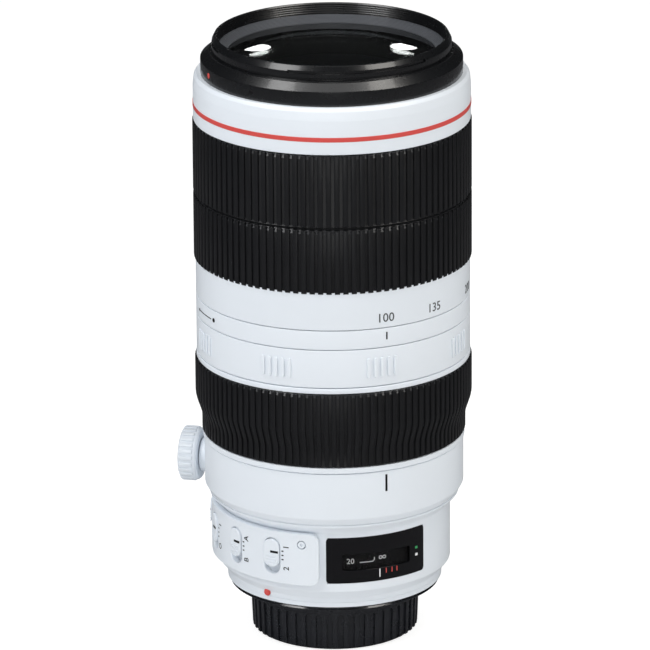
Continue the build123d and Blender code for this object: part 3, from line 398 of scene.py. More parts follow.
SLOT_FINISH = {
    "white_paint": Finishes.ENAMEL,
    "black_satin": Finishes.FRONT_BLACK,
    "grip_rubber": Finishes.GRIP,
    "black_anodised": Finishes.ANODISED,
    "bare_metal": Finishes.CHROME,
    "gold": Finishes.GOLD,
    "black_plastic": Finishes.CAP,
    "black_gloss": Finishes.GLOSS,
    "optical_glass": Finishes.ELEMENT,
    "clear_pane": Finishes.PANE,
    "board_green": Finishes.BOARD,
    "steel": Finishes.STEEL,
}


def direction(angle: float) -> Vector:
    """The outward direction at an angle from the index."""
    turn = math.radians(angle)
    return Vector((math.sin(turn), -math.cos(turn), 0))


def sight(azimuth: float, elevation: float) -> Vector:
    """The direction from the lens to a camera or lamp, from its angles in degrees."""
    turn, rise = math.radians(azimuth), math.radians(elevation)
    across = math.cos(rise)
    return Vector((math.sin(turn) * across, -math.cos(turn) * across, math.sin(rise)))


def radial_frame(angle: float, reach: float, height: float) -> Matrix:
    """A frame on the barrel whose z points outwards and whose y points up.

    Args:
        angle: Degrees from the index.
        reach: Distance from the optical axis.
        height: Height of the origin.

    Returns:
        The matrix, in millimetres.
    """
    outward = direction(angle)
    upward = Vector((0, 0, 1))
    sideways = upward.cross(outward)
    turned = Matrix((sideways, upward, outward)).transposed().to_4x4()
    return Matrix.Translation(outward * reach + upward * height) @ turned


def rounded(outline: Sequence[Sequence[float]], steps: int = 5) -> list[Point]:
    """Replace each rounded corner of a closed outline by an arc.

    Args:
        outline: Its corners in order, each across, up and its rounding if it has one.
        steps: Runs per arc.

    Returns:
        The outline's points.
    """
    points: list[Point] = []
    corners = [Corner(*corner) for corner in outline]
    count = len(corners)
    for index, corner in enumerate(corners):
        here = Vector((corner.across, corner.up))
        if corner.rounding <= 0:
            points.append(here.to_tuple())
            continue
        behind, ahead = corners[index - 1], corners[(index + 1) % count]
        before = Vector((behind.across, behind.up)) - here
        after = Vector((ahead.across, ahead.up)) - here
        half = before.angle(after) / 2
        reach = min(corner.rounding / math.tan(half), before.length * CAPSULE, after.length * CAPSULE)
        radius = reach * math.tan(half)
        inward = (before.normalized() + after.normalized()).normalized()
        middle = here + inward * (radius / math.sin(half))
        start = here + before.normalized() * reach - middle
        end = here + after.normalized() * reach - middle
        sweep = start.angle_signed(end)
        for step in range(steps + 1):
            turned = start.copy()
            turned.rotate(Matrix.Rotation(-sweep * step / steps, 2))
            points.append((middle + turned).to_tuple())
    return points


def mesh_from(points: Sequence[Sequence[float]], faces: Sequence[Sequence[int]]) -> bpy.types.Mesh:
    """A clean closed mesh from millimetre points, in metres, with its faces outwards.

    Args:
        points: Vertices in millimetres.
        faces: Vertex numbers of each face.

    Returns:
        The mesh.
    """
    mesh = bpy.data.meshes.new("work")
    mesh.from_pydata([Vector(point) * MM for point in points], [], faces)
    tidy(mesh)
    return mesh


def tidy(mesh: bpy.types.Mesh) -> None:
    """Merge doubled points, turn faces outwards and shade smooth up to the crease angle.

    Args:
        mesh: The mesh to work on.
    """
    work = bmesh.new()
    work.from_mesh(mesh)
    bmesh.ops.remove_doubles(work, verts=work.verts, dist=MERGE_DISTANCE)
    bmesh.ops.dissolve_degenerate(work, edges=work.edges, dist=SLIVER_LENGTH)
    bmesh.ops.recalc_face_normals(work, faces=work.faces)
    work.to_mesh(mesh)
    work.free()
    mesh.shade_smooth()
    mesh.set_sharp_from_angle(angle=CREASE)


def lathe_mesh(outline: Sequence[Point], segments: int = SEGMENTS) -> bpy.types.Mesh:
    """Turn a closed outline about the z axis.

    Args:
        outline: Its (radius, height) points.
        segments: Runs all round.

    Returns:
        The mesh, in metres.
    """
    points = []
    faces = []
    count = len(outline)
    for turn in range(segments):
        outward = direction(360 * turn / segments)
        points += [(outward.x * radius, outward.y * radius, height) for radius, height in outline]
    for turn in range(segments):
        first = turn * count
        second = (turn + 1) % segments * count
        for index in range(count):
            after = (index + 1) % count
            faces.append((first + index, second + index, second + after, first + after))
    return mesh_from(points, faces)


def moved(mesh: bpy.types.Mesh, matrix: Matrix) -> bpy.types.Mesh:
    """Move a mesh by a matrix whose translation is in millimetres.

    Args:
        mesh: The mesh, in metres.
        matrix: The move.

    Returns:
        The same mesh.
    """
    scaled = matrix.copy()
    scaled.translation = matrix.translation * MM
    mesh.transform(scaled)
    return mesh


def placed(name: str, data: bpy.types.ID) -> bpy.types.Object:
    """Make an object and put it in the scene.

    Args:
        name: Its name.
        data: Its mesh, curve, lamp or camera.

    Returns:
        The object.
    """
    made = bpy.data.objects.new(name, data)
    bpy.context.scene.collection.objects.link(made)
    return made


def evaluated(holder: bpy.types.Object) -> bpy.types.Mesh:
    """Take an object's mesh as its modifiers leave it, and remove the object.

    Args:
        holder: The object.

    Returns:
        The plain mesh.
    """
    bpy.context.view_layer.update()
    shown = holder.evaluated_get(bpy.context.evaluated_depsgraph_get())
    mesh = bpy.data.meshes.new_from_object(shown)
    bpy.data.objects.remove(holder)
    return mesh


def filled(curve: bpy.types.Curve) -> bpy.types.Mesh:
    """Turn a curve into a mesh, and remove the curve.

    Args:
        curve: The curve.

    Returns:
        The mesh.
    """
    mesh = evaluated(placed("curve", curve))
    bpy.data.curves.remove(curve)
    return mesh


def flat_plate(outlines: Sequence[Sequence[Point]], depth: float,
               bevel: float = 0.0) -> bpy.types.Mesh:
    """A flat plate from closed outlines, the later ones its holes, with its back at z = 0.

    Args:
        outlines: Closed outlines in millimetres.
        depth: The plate's thickness.
        bevel: How far its edges are rounded.

    Returns:
        The mesh, in metres.
    """
    curve = bpy.data.curves.new("plate", "CURVE")
    curve.dimensions = "2D"
    curve.fill_mode = "BOTH"
    curve.extrude = (depth / 2 - bevel) * MM
    curve.bevel_depth = bevel * MM
    curve.bevel_resolution = 2
    curve.offset = -bevel * MM
    for outline in outlines:
        spline = curve.splines.new("POLY")
        spline.points.add(len(outline) - 1)
        for point, (across, up) in zip(spline.points, outline):
            point.co = (across * MM, up * MM, 0, 1)
        spline.use_cyclic_u = True
    mesh = filled(curve)
    mesh.transform(Matrix.Translation((0, 0, depth / 2 * MM)))
    tidy(mesh)
    return mesh


def printed(outline: Sequence[Point], thick: float = PRINT_THICK) -> bpy.types.Mesh:
    """A thin flat mark, from one closed outline."""
    return flat_plate([outline], thick)


def wrapped(mesh: bpy.types.Mesh, radius: float, angle: float, height: float,
            run: float = 1.5) -> bpy.types.Mesh:
    """Bend a flat mesh round the barrel: x goes round, y goes up and z goes outwards.

    Args:
        mesh: The flat mesh, in metres.
        radius: Where its back lies.
        angle: Where its x = 0 lies, from the index.
        height: Where its y = 0 lies.
        run: Longest straight run round the barrel.

    Returns:
        The same mesh, bent.
    """
    work = bmesh.new()
    work.from_mesh(mesh)
    sides = [vert.co.x for vert in work.verts]
    low, high = min(sides), max(sides)
    cuts = math.ceil((high - low) / (run * MM))
    for index in range(1, cuts):
        everything = [*work.verts, *work.edges, *work.faces]
        place = low + (high - low) * index / cuts
        bmesh.ops.bisect_plane(work, geom=everything, dist=1e-8,
                               plane_co=(place, 0, 0), plane_no=(1, 0, 0))
    for vert in work.verts:
        turn = angle + math.degrees(vert.co.x / (radius * MM))
        reach = radius * MM + vert.co.z
        up = vert.co.y + height * MM
        outward = direction(turn)
        vert.co = (outward.x * reach, outward.y * reach, up)
    work.to_mesh(mesh)
    work.free()
    tidy(mesh)
    return mesh


def lettering(text: str, height: float, depth: float = 0.05, turned: float = 0.0) -> bpy.types.Mesh:
    """Flat raised lettering, centred on its own middle.

    Args:
        text: What it says.
        height: How tall its figures are.
        depth: How thick it is.
        turned: Degrees it is turned by in its plane.

    Returns:
        The mesh, in metres.
    """
    curve = bpy.data.curves.new("lettering", "FONT")
    curve.body = text
    curve.resolution_u = 3
    curve.extrude = 0.001
    curve.offset = 0.004
    mesh = filled(curve)
    places = [vert.co.copy() for vert in mesh.vertices]
    low = Vector(min(place[axis] for place in places) for axis in range(3))
    high = Vector(max(place[axis] for place in places) for axis in range(3))
    size = height * MM / (high.y - low.y)
    middle = (low + high) / 2
    across = Matrix.Translation((-middle.x, -middle.y, -low.z))
    grown = Matrix.Diagonal((size, size, depth * MM / (high.z - low.z), 1))
    mesh.transform(Matrix.Rotation(math.radians(turned), 4, "Z") @ grown @ across)
    return mesh


def rounded_box(width: float, height: float, rounding: float) -> list[Point]:
    """A rounded rectangle's outline, centred.

    Args:
        width: Its width.
        height: Its height.
        rounding: Its corners' radius.

    Returns:
        The outline's points.
    """
    half, tall = width / 2, height / 2
    corners = [(-half, -tall), (half, -tall), (half, tall), (-half, tall)]
    return rounded([(across, up, rounding) for across, up in corners])


def shifted(outline: Sequence[Point], across: float, up: float) -> list[Point]:
    """The same outline elsewhere."""
    return [(point[0] + across, point[1] + up) for point in outline]


def circle(radius: float, sides: int = 32) -> list[Point]:
    """A round outline."""
    turns = [math.tau * index / sides for index in range(sides)]
    return [(radius * math.cos(turn), radius * math.sin(turn)) for turn in turns]


def crown(radius: float, rise: float, runs: int) -> list[Point]:
    """The curve of a domed glass from its middle to its edge, as radius and height."""
    return [(radius * index / runs, rise * (1 - (index / runs) ** 2)) for index in range(runs + 1)]


def sector_mesh(outer: float, inner: float, low: float, high: float,
                start: float, end: float) -> bpy.types.Mesh:
    """Part of a tube between two angles, for cutting.

    Args:
        outer: Its outer radius.
        inner: Its inner radius.
        low: Its lower height.
        high: Its upper height.
        start: Its first angle.
        end: Its last angle.

    Returns:
        The mesh, in metres.
    """
    middle = (outer + inner) / 2
    width = math.radians(end - start) * middle
    outline = [(-width / 2, low), (width / 2, low), (width / 2, high), (-width / 2, high)]
    mesh = flat_plate([outline], outer - inner)
    for vert in mesh.vertices:
        vert.co.z -= (outer - inner) / 2 * MM
    return wrapped(mesh, middle, (start + end) / 2, 0)


class RepeatTree:
    """A node tree that repeats a piece round an axis, in groups if asked, and sets its material."""

    INPUTS = (
        ("Copies", "NodeSocketInt"),
        ("First Angle", "NodeSocketFloat"),
        ("Step Angle", "NodeSocketFloat"),
        ("Copies Per Group", "NodeSocketInt"),
        ("Group Angle", "NodeSocketFloat"),
        ("Finish", "NodeSocketMaterial"),
    )

    def __init__(self) -> None:
        """Build the tree."""
        self.tree = bpy.data.node_groups.new("repeat_round_axis", "GeometryNodeTree")
        face = self.tree.interface
        face.new_socket(name="Geometry", in_out="INPUT", socket_type="NodeSocketGeometry")
        for name, kind in self.INPUTS:
            face.new_socket(name=name, in_out="INPUT", socket_type=kind)
        face.new_socket(name="Geometry", in_out="OUTPUT", socket_type="NodeSocketGeometry")
        self._link()

    def _math(self, operation: str, first: object, second: object) -> bpy.types.NodeSocket:
        """Add a Math node to the tree.

        Args:
            operation: What it does.
            first: Its first value or link.
            second: Its second value or link.

        Returns:
            Its result.
        """
        node = self.tree.nodes.new("ShaderNodeMath")
        node.operation = operation
        for socket, value in zip(node.inputs, (first, second)):
            if isinstance(value, bpy.types.NodeSocket):
                self.tree.links.new(value, socket)
            else:
                socket.default_value = value
        return node.outputs[0]

    def _link(self) -> None:
        """Add the nodes: points, instances turned by their number, real meshes, material."""
        nodes, links = self.tree.nodes, self.tree.links
        source = nodes.new("NodeGroupInput")
        target = nodes.new("NodeGroupOutput")
        points = nodes.new("GeometryNodePoints")
        index = nodes.new("GeometryNodeInputIndex").outputs[0]
        per_group = source.outputs["Copies Per Group"]
        group = self._math("FLOOR", self._math("DIVIDE", index, per_group), 0.0)
        inside = self._math("SUBTRACT", index, self._math("MULTIPLY", group, per_group))
        turn = self._math("ADD", self._math("MULTIPLY", group, source.outputs["Group Angle"]),
                          self._math("MULTIPLY", inside, source.outputs["Step Angle"]))
        turn = self._math("RADIANS", self._math("ADD", turn, source.outputs["First Angle"]), 0.0)
        euler = nodes.new("ShaderNodeCombineXYZ")
        instance = nodes.new("GeometryNodeInstanceOnPoints")
        realize = nodes.new("GeometryNodeRealizeInstances")
        material = nodes.new("GeometryNodeSetMaterial")
        links.new(source.outputs["Copies"], points.inputs["Count"])
        links.new(turn, euler.inputs["Z"])
        links.new(points.outputs[0], instance.inputs["Points"])
        links.new(source.outputs["Geometry"], instance.inputs["Instance"])
        links.new(euler.outputs[0], instance.inputs["Rotation"])
        links.new(instance.outputs[0], realize.inputs[0])
        links.new(realize.outputs[0], material.inputs["Geometry"])
        links.new(source.outputs["Finish"], material.inputs["Material"])
        links.new(material.outputs[0], target.inputs[0])

    def run(self, unit: bpy.types.Mesh, copies: int, first: float, step: float, finish: Finishes,
            per_group: int = 0, group_angle: float = 0.0) -> bpy.types.Mesh:
        """Repeat a piece and return one plain mesh.

        Args:
            unit: The piece at angle 0, in metres.
            copies: How many in all.
            first: The first one's angle.
            step: The angle between neighbours.
            finish: Their finish.
            per_group: How many to a group, or 0 for one group.
            group_angle: The angle between groups.

        Returns:
            The mesh of all copies.
        """
        values = {"Copies": copies, "First Angle": first, "Step Angle": step,
                  "Copies Per Group": per_group or copies, "Group Angle": group_angle,
                  "Finish": finish.material()}
        holder = placed("repeat", unit)
        modifier = holder.modifiers.new("repeat", "NODES")
        modifier.node_group = self.tree
        for item in self.tree.interface.items_tree:
            if item.in_out == "INPUT" and item.name in values:
                modifier[item.identifier] = values[item.name]
        return evaluated(holder)


class Bench:
    """Puts finished meshes on the right bodies, and keeps what the sub-assemblies share."""

    def __init__(self) -> None:
        """Start with an empty bench."""
        self.repeat = RepeatTree()
        self.slots = {part["node"]: part["material_slot"] for part in frame["record"]["subparts"]}

    def fit(self, name: str, mesh: bpy.types.Mesh, body: str, finish: Finishes,
            replaces: Sequence[str] = (), slot: str | None = None) -> None:
        """Make a piece of a mesh and let it ride on a body.

        Args:
            name: The piece's name.
            mesh: Its mesh, in place, in metres.
            body: The CAD body it moves with.
            finish: Its finish.
            replaces: The CAD nodes it stands for.
            slot: Not used.
        """
        mesh.name = name
        mesh.materials.clear()
        mesh.materials.append(finish.material())
        for face in mesh.polygons:
            face.material_index = 0
        piece = placed(name, mesh)
        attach(piece, body)
        if replaces:
            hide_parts(*replaces)
        LOG.info("%s on %s: %d faces", name, body, len(mesh.polygons))

    @staticmethod
    def boolean(mesh: bpy.types.Mesh, tools: Sequence[bpy.types.Mesh],
                operation: str) -> bpy.types.Mesh:
        """Cut tools out of a mesh, or join them to it.

        Args:
            mesh: The mesh to work on.
            tools: The other meshes.
            operation: DIFFERENCE or UNION.

        Returns:
            The new mesh.
        """
        holder = placed("work", mesh)
        helpers = [placed("tool", tool) for tool in tools]
        for helper in helpers:
            modifier = holder.modifiers.new("cut", "BOOLEAN")
            modifier.operation = operation
            modifier.solver = "EXACT"
            modifier.object = helper
        made = evaluated(holder)
        for helper in helpers:
            bpy.data.objects.remove(helper)
        tidy(made)
        return made


def rib_mesh(levels: Sequence[tuple[float, float, float]], width: float,
             shoulder: float = 0.6) -> bpy.types.Mesh:
    """One grip rib at angle 0, from its (height, floor radius, proud) levels.

    Args:
        levels: Height, the floor's radius there, and how proud the rib is.
        width: Its width.
        shoulder: Share of the width that its flat top takes.

    Returns:
        The rib's closed mesh.
    """
    section = ((-0.5, -0.3), (-0.5, 0.55), (-0.44, 0.86), (-shoulder / 2, 1.0),
               (shoulder / 2, 1.0), (0.44, 0.86), (0.5, 0.55), (0.5, -0.3))
    count = len(section)
    points = [(across * width, -(radius + proud * out), height)
              for height, radius, proud in levels for across, out in section]
    faces = [tuple(range(count)), tuple(range(len(points) - count, len(points)))]
    for level in range(len(levels) - 1):
        first, second = level * count, (level + 1) * count
        for index in range(count):
            after = (index + 1) % count
            faces.append((first + index, first + after, second + after, second + index))
    return mesh_from(points, faces)


@dataclass
class SubAssembly:
    """A part of the lens that is built and dressed together."""

    bench: Bench
    body: str = "barrel"

    def fit(self, name: str, mesh: bpy.types.Mesh, finish: Finishes, replaces: Sequence[str] = (),
            slot: str | None = None, body: str | None = None) -> None:
        """Let a mesh ride on this sub-assembly's own body, or on another."""
        self.bench.fit(name, mesh, body or self.body, finish, replaces, slot)

    def mark(self, name: str, mesh: bpy.types.Mesh, radius: float, angle: float, height: float,
             finish: Finishes = Finishes.MARK_BLACK, body: str | None = None) -> None:
        """Wrap a flat printed mark round the barrel and fit it."""
        self.fit(name, wrapped(mesh, radius, angle, height), finish, body=body)


@dataclass
class FrontBarrel(SubAssembly):
    """The hood ring, front lens and white band, which slide out when zooming."""

    body: str = "front_barrel"
    side_height: float = 5.1
    cone_height: float = 2.3
    cone_radius: float = 41.2
    rim_radius: float = 40.4
    rim_bevel: float = 1.0
    rim_bevel_height: float = 2.1
    thread_radius: float = 38.25
    thread_depth: float = 4.0
    thread_pitch: float = 0.75
    thread_tooth: float = 0.38
    thread_start: float = 0.45
    slot_angle: float = 72.0
    slot_first: float = -44.0
    slot_drop: float = 2.8
    slot_height: float = 1.1
    slot_depth: float = 0.6
    dot_radius: float = 0.95
    dot_angle: float = -91.0
    dot_lift: float = 3.0
    screw_angle: float = -60.0
    screw_lift: float = 2.6
    sunk: float = 0.02
    cone_end_radius: float = 35.2
    cone_drop: float = 2.2
    cone_steps: int = 7
    bulge: float = 1.9
    glass_thick: float = 6.0
    glass_runs: int = 20
    baffle_steps: int = 12
    baffle_tail: float = 8.0
    aperture_radius: float = 26.5
    inner_drop: float = 5.0
    inner_bulge: float = 2.4
    inner_edge: float = 2.5
    inner_runs: int = 12
    band_top_radius: float = 45.6
    band_wall: float = 1.2
    red_low: float = 4.45
    red_height: float = 1.55
    red_root: float = 0.3
    red_proud: float = 0.14
    ring: Span = span_of("hood_mount_ring")
    band: Span = span_of("front_band")
    tube: Span = span_of("extension_tube")

    def build(self) -> None:
        """Make every piece of the front barrel."""
        self._hood_ring()
        self._lens()
        self._band()
        self._tube()

    def _hood_ring(self) -> None:
        """The black ring: hood bayonet outside, filter thread inside."""
        side_top = self.ring.low + self.side_height
        cone_top = side_top + self.cone_height
        corners = [
            (self.thread_radius, self.ring.low), (self.ring.radius, self.ring.low, 0.15),
            (self.ring.radius, side_top, 0.35), (self.cone_radius, cone_top, 0.2),
            (self.cone_radius, cone_top + 0.35, 0.1),
            (self.rim_radius - 0.35, cone_top + 0.5),
            (self.rim_radius - 0.35, cone_top + 1.1),
            (self.rim_radius, cone_top + 1.3, 0.1),
            (self.rim_radius, self.ring.high - self.rim_bevel_height, 0.5),
            (self.rim_radius - self.rim_bevel, self.ring.high - 0.15, 0.2),
            (self.thread_radius + 0.4, self.ring.high, 0.1),
        ]
        turns = int(self.thread_depth / self.thread_pitch)
        for index in range(turns):
            top = self.ring.high - self.thread_start - index * self.thread_pitch
            corners.append((self.thread_radius, top))
            corners.append((self.thread_radius + self.thread_tooth, top - self.thread_pitch / 2))
        corners.append((self.thread_radius, self.ring.high - self.thread_depth - 0.2))
        mesh = lathe_mesh(rounded(corners))
        low = self.ring.high - self.slot_drop
        starts = [self.slot_first + 120 * index for index in range(3)]
        cutters = [sector_mesh(self.rim_radius + 1, self.rim_radius - self.slot_depth, low,
                               low + self.slot_height, start, start + self.slot_angle)
                   for start in starts]
        mesh = self.bench.boolean(mesh, cutters, "DIFFERENCE")
        self.fit("hood_ring", mesh, Finishes.FRONT_BLACK, ["hood_mount_ring"])
        surface = self.ring.radius - self.sunk
        dot = wrapped(flat_plate([circle(self.dot_radius)], 0.1, 0.03), surface, self.dot_angle,
                      self.ring.low + self.dot_lift, 0.4)
        self.fit("hood_dot", dot, Finishes.RED, slot="black_satin")
        head = [(0, 0), (0.85, 0), (0.85, 0.12, 0.05), (0.4, 0.12), (0.4, 0.02), (0, 0.02)]
        screw = lathe_mesh(rounded(head), 32)
        moved(screw, radial_frame(self.screw_angle, surface, self.ring.low + self.screw_lift))
        self.fit("hood_screw", screw, Finishes.MARK_BLACK, slot="black_satin")

    def _lens(self) -> None:
        """The stepped retaining cone, the front element, and what is seen through it."""
        top = self.ring.high - self.thread_depth
        end = top - self.cone_drop
        cell = Span.of("front_cell")
        glass = Span.of("front_glass")
        edge = glass.high - self.bulge
        outer = self.thread_radius - 0.02
        seat = cell.radius
        corners = [
            (seat, cell.low + 2), (seat, top - 1.2), (outer, top - 0.2),
            (outer, top, 0.06),
        ]
        for index in range(self.cone_steps):
            share, after = index / self.cone_steps, (index + 1) / self.cone_steps
            radius = outer - 0.3 + (self.cone_end_radius - outer + 0.3) * after
            corners.append((radius, top + (end - top) * share - 0.02))
            corners.append((radius, top + (end - top) * after))
        corners += [
            (self.cone_end_radius, end - 0.25, 0.1),
            (self.cone_end_radius + 0.25, end - 0.5),
            (self.cone_end_radius + 0.25, cell.low + 2),
        ]
        mesh = lathe_mesh(rounded(corners, 3))
        # The cone's grey finish is a painted reflection.
        self.fit("front_retaining_cone", mesh, Finishes.CONE, ["front_cell"])
        radius = self.cone_end_radius + 0.15
        back = edge - self.glass_thick
        dome = crown(radius, self.bulge, self.glass_runs)
        front = [(reach, edge + rise) for reach, rise in dome]
        front += [(reach, back + rise) for reach, rise in reversed(dome)]
        mesh = lathe_mesh(front, 160)
        self.fit("front_element", mesh, Finishes.ELEMENT, ["front_glass"])
        self._behind_glass(radius, edge, back)

    def _behind_glass(self, radius: float, edge: float, back: float) -> None:
        """The stepped baffle behind the front element, and an opaque near-black disc painted as the
        shade deep inside the lens.

        Args:
            radius: The front element's radius.
            edge: The height of its front face at the edge.
            back: The height of its back face at the edge.
        """
        baffle = [(radius + 0.1, edge - 0.5)]
        for index in range(self.baffle_steps):
            share, after = index / self.baffle_steps, (index + 1) / self.baffle_steps
            reach = radius - 0.1 + (self.aperture_radius - radius + 0.1) * after
            base = edge - 0.5 + (back - edge + 0.6) * share
            baffle.append((reach, base))
            baffle.append((reach, base + (back - edge + 0.6) / self.baffle_steps))
        tail = back - self.baffle_tail
        baffle += [(self.aperture_radius, tail), (radius + 0.1, tail)]
        self.fit("front_baffle", lathe_mesh(rounded(baffle)), Finishes.BAFFLE, slot="black_anodised")
        low = back - self.inner_drop
        deep = [(reach, low + rise)
                for reach, rise in crown(self.aperture_radius, self.inner_bulge, self.inner_runs)]
        deep += [(self.aperture_radius, low - self.inner_edge), (0.0, low - self.inner_edge)]
        # Painted shade: a near-black opaque disc where the inside of the lens lies.
        self.fit("inner_painted_shade_disc", lathe_mesh(deep, 128), Finishes.DEEP_PAINTED_SHADE, slot="optical_glass")

    def _band(self) -> None:
        """The white band with its red ring."""
        span = self.band
        low_radius = span.radius
        hollow = self.band_top_radius - self.band_wall
        bore = self.tube.radius + 0.05
        corners = [
            (bore, span.low), (low_radius, span.low, 0.25),
            (low_radius, span.high - 4.2, 3.0), (low_radius - 0.35, span.high - 1.1, 0.8),
            (self.band_top_radius, span.high, 0.15), (bore, span.high),
            (bore, span.high - 2), (hollow, span.high - 2),
            (hollow, span.low + 2), (bore, span.low + 2),
        ]
        mesh = lathe_mesh(rounded(corners))
        self.fit("front_white_band", mesh, Finishes.ENAMEL, ["front_band"])
        low = span.low + self.red_low
        root, proud = low_radius - self.red_root, low_radius + self.red_proud
        ring = [
            (root, low), (proud, low, 0.08), (proud, low + self.red_height, 0.08),
            (root, low + self.red_height),
        ]
        self.fit("red_ring", lathe_mesh(rounded(ring)), Finishes.RED, slot="white_paint")

    def _tube(self) -> None:
        """The inner barrel that shows when the lens is zoomed out."""
        span = self.tube
        inner = span.radius - 1
        corners = [
            (inner, span.low), (span.radius, span.low, 0.2),
            (span.radius, span.high), (inner, span.high),
        ]
        self.fit("sliding_barrel", lathe_mesh(rounded(corners)), Finishes.ENAMEL, ["extension_tube"],
                 slot="white_paint")


def ramp_mesh(radius: float, end: float, height: float, drop: float) -> bpy.types.Mesh:
    """The smooth slope that closes a band of grooves at their upper end.

    Args:
        radius: The slope's radius at its foot.
        end: The height where it ends.
        height: How tall the slope is.
        drop: How far it falls towards the axis.

    Returns:
        The mesh, in metres.
    """
    start = end - height
    corners = [
        (radius - 0.3, start), (radius, start), (radius - drop, end),
        (radius - drop - 0.3, end),
    ]
    return lathe_mesh(rounded(corners))


@dataclass
class ZoomRing(SubAssembly):
    """The zoom ring: a white scale band and a tall ribbed grip."""

    body: str = "zoom_ring"
    ribs: int = 104
    rib_share: float = 0.62
    proud: float = 0.6
    break_lift: float = 22.8
    break_height: float = 1.0
    notch: float = 0.5
    ramp_height: float = 1.3
    ramp_drop: float = 0.72
    wall: float = 1.6
    drum_drop: float = 1.3
    end_gap: float = 0.1
    figure_height: float = 3.05
    figure_lift: float = 3.5
    figures: tuple[tuple[str, float], ...] = (
        ("100", 0.0), ("135", 24.6), ("200", 54.5), ("300", 84.0), ("400", 105.0))
    shell: Span = span_of("zoom_shell")
    rubber: Span = span_of("zoom_rubber")

    def build(self) -> None:
        """Make the shell, its figures and the grip."""
        self._shell()
        self._grip()

    def _shell(self) -> None:
        """The scale band and the drum under the rubber."""
        radius = self.shell.radius
        inner = radius - self.wall
        drum = self.rubber.radius - self.drum_drop
        floor = self.rubber.radius - self.proud + 0.05
        corners = [
            (inner, self.shell.low), (radius, self.shell.low, 0.22),
            (radius, self.rubber.low, 0.2), (floor, self.rubber.low, 0.05),
            (floor, self.rubber.low + self.notch, 0.05),
            (drum, self.rubber.low + self.notch), (drum, self.shell.high, 0.2),
            (inner, self.shell.high),
        ]
        self.fit("zoom_scale_band", lathe_mesh(rounded(corners)), Finishes.ENAMEL, ["zoom_shell"])
        middle = self.shell.low + self.figure_lift
        for text, angle in self.figures:
            self.mark(f"zoom_figure_{text}", lettering(text, self.figure_height), radius + PRINT_LIFT,
                      angle, middle, Finishes.MARK_GREY)

    def _grip(self) -> None:
        """Two bands of ribs with a thin break between them."""
        low, high = self.rubber.low, self.rubber.high
        top = self.rubber.radius
        floor = top - self.proud
        middle = low + self.break_lift
        gap = self.break_height / 2
        inner = top - 1.25
        foot = low + self.notch + 0.02
        lower_end, upper_end = middle - gap - self.end_gap, high - self.end_gap
        corners = [
            (inner, foot), (floor, foot, 0.05),
            (floor, middle - gap - self.ramp_height - self.end_gap),
            (floor - self.ramp_drop, lower_end), (floor - self.ramp_drop, middle),
            (floor + 0.35, middle + gap), (floor, middle + gap + 0.7),
            (floor, high - self.ramp_height - self.end_gap), (floor - self.ramp_drop, upper_end),
            (inner, upper_end),
        ]
        sleeve = lathe_mesh(rounded(corners, 3))
        self.fit("zoom_grip_sleeve", sleeve, Finishes.GRIP, slot="grip_rubber")
        # The ramps at the groove ends wear the lighter rubber: a painted highlight where they face up.
        for name, end in (("lower", lower_end), ("upper", upper_end)):
            mesh = ramp_mesh(floor + 0.02, end, self.ramp_height, self.ramp_drop)
            self.fit(f"zoom_groove_{name}_ends", mesh, Finishes.GROOVE_END_HIGHLIGHT, slot="grip_rubber")
        self._ribs(floor, middle, gap)

    def _ribs(self, floor: float, middle: float, gap: float) -> None:
        """The two bands of ribs.

        Args:
            floor: The radius of the grooves.
            middle: The height of the break between the bands.
            gap: Half the break's height.
        """
        low, high = self.rubber.low, self.rubber.high
        width = math.tau * self.rubber.radius / self.ribs * self.rib_share
        step = 360 / self.ribs
        bands = ((low, middle - gap), (middle + gap, high))
        for name, (start, end) in zip(("lower", "upper"), bands):
            levels = [
                (start, floor, self.proud * 0.3), (start + 0.18, floor, self.proud * 0.8),
                (start + 0.55, floor, self.proud), (end - 0.4, floor, self.proud),
                (end - 0.12, floor, self.proud * 0.8), (end, floor, self.proud * 0.3),
            ]
            unit = rib_mesh(levels, width)
            mesh = self.bench.repeat.run(unit, self.ribs, 0, step, Finishes.GRIP)
            nodes = ["zoom_rubber"] if name == "lower" else []
            self.fit(f"zoom_grip_{name}_ribs", mesh, Finishes.GRIP, nodes, slot="grip_rubber")


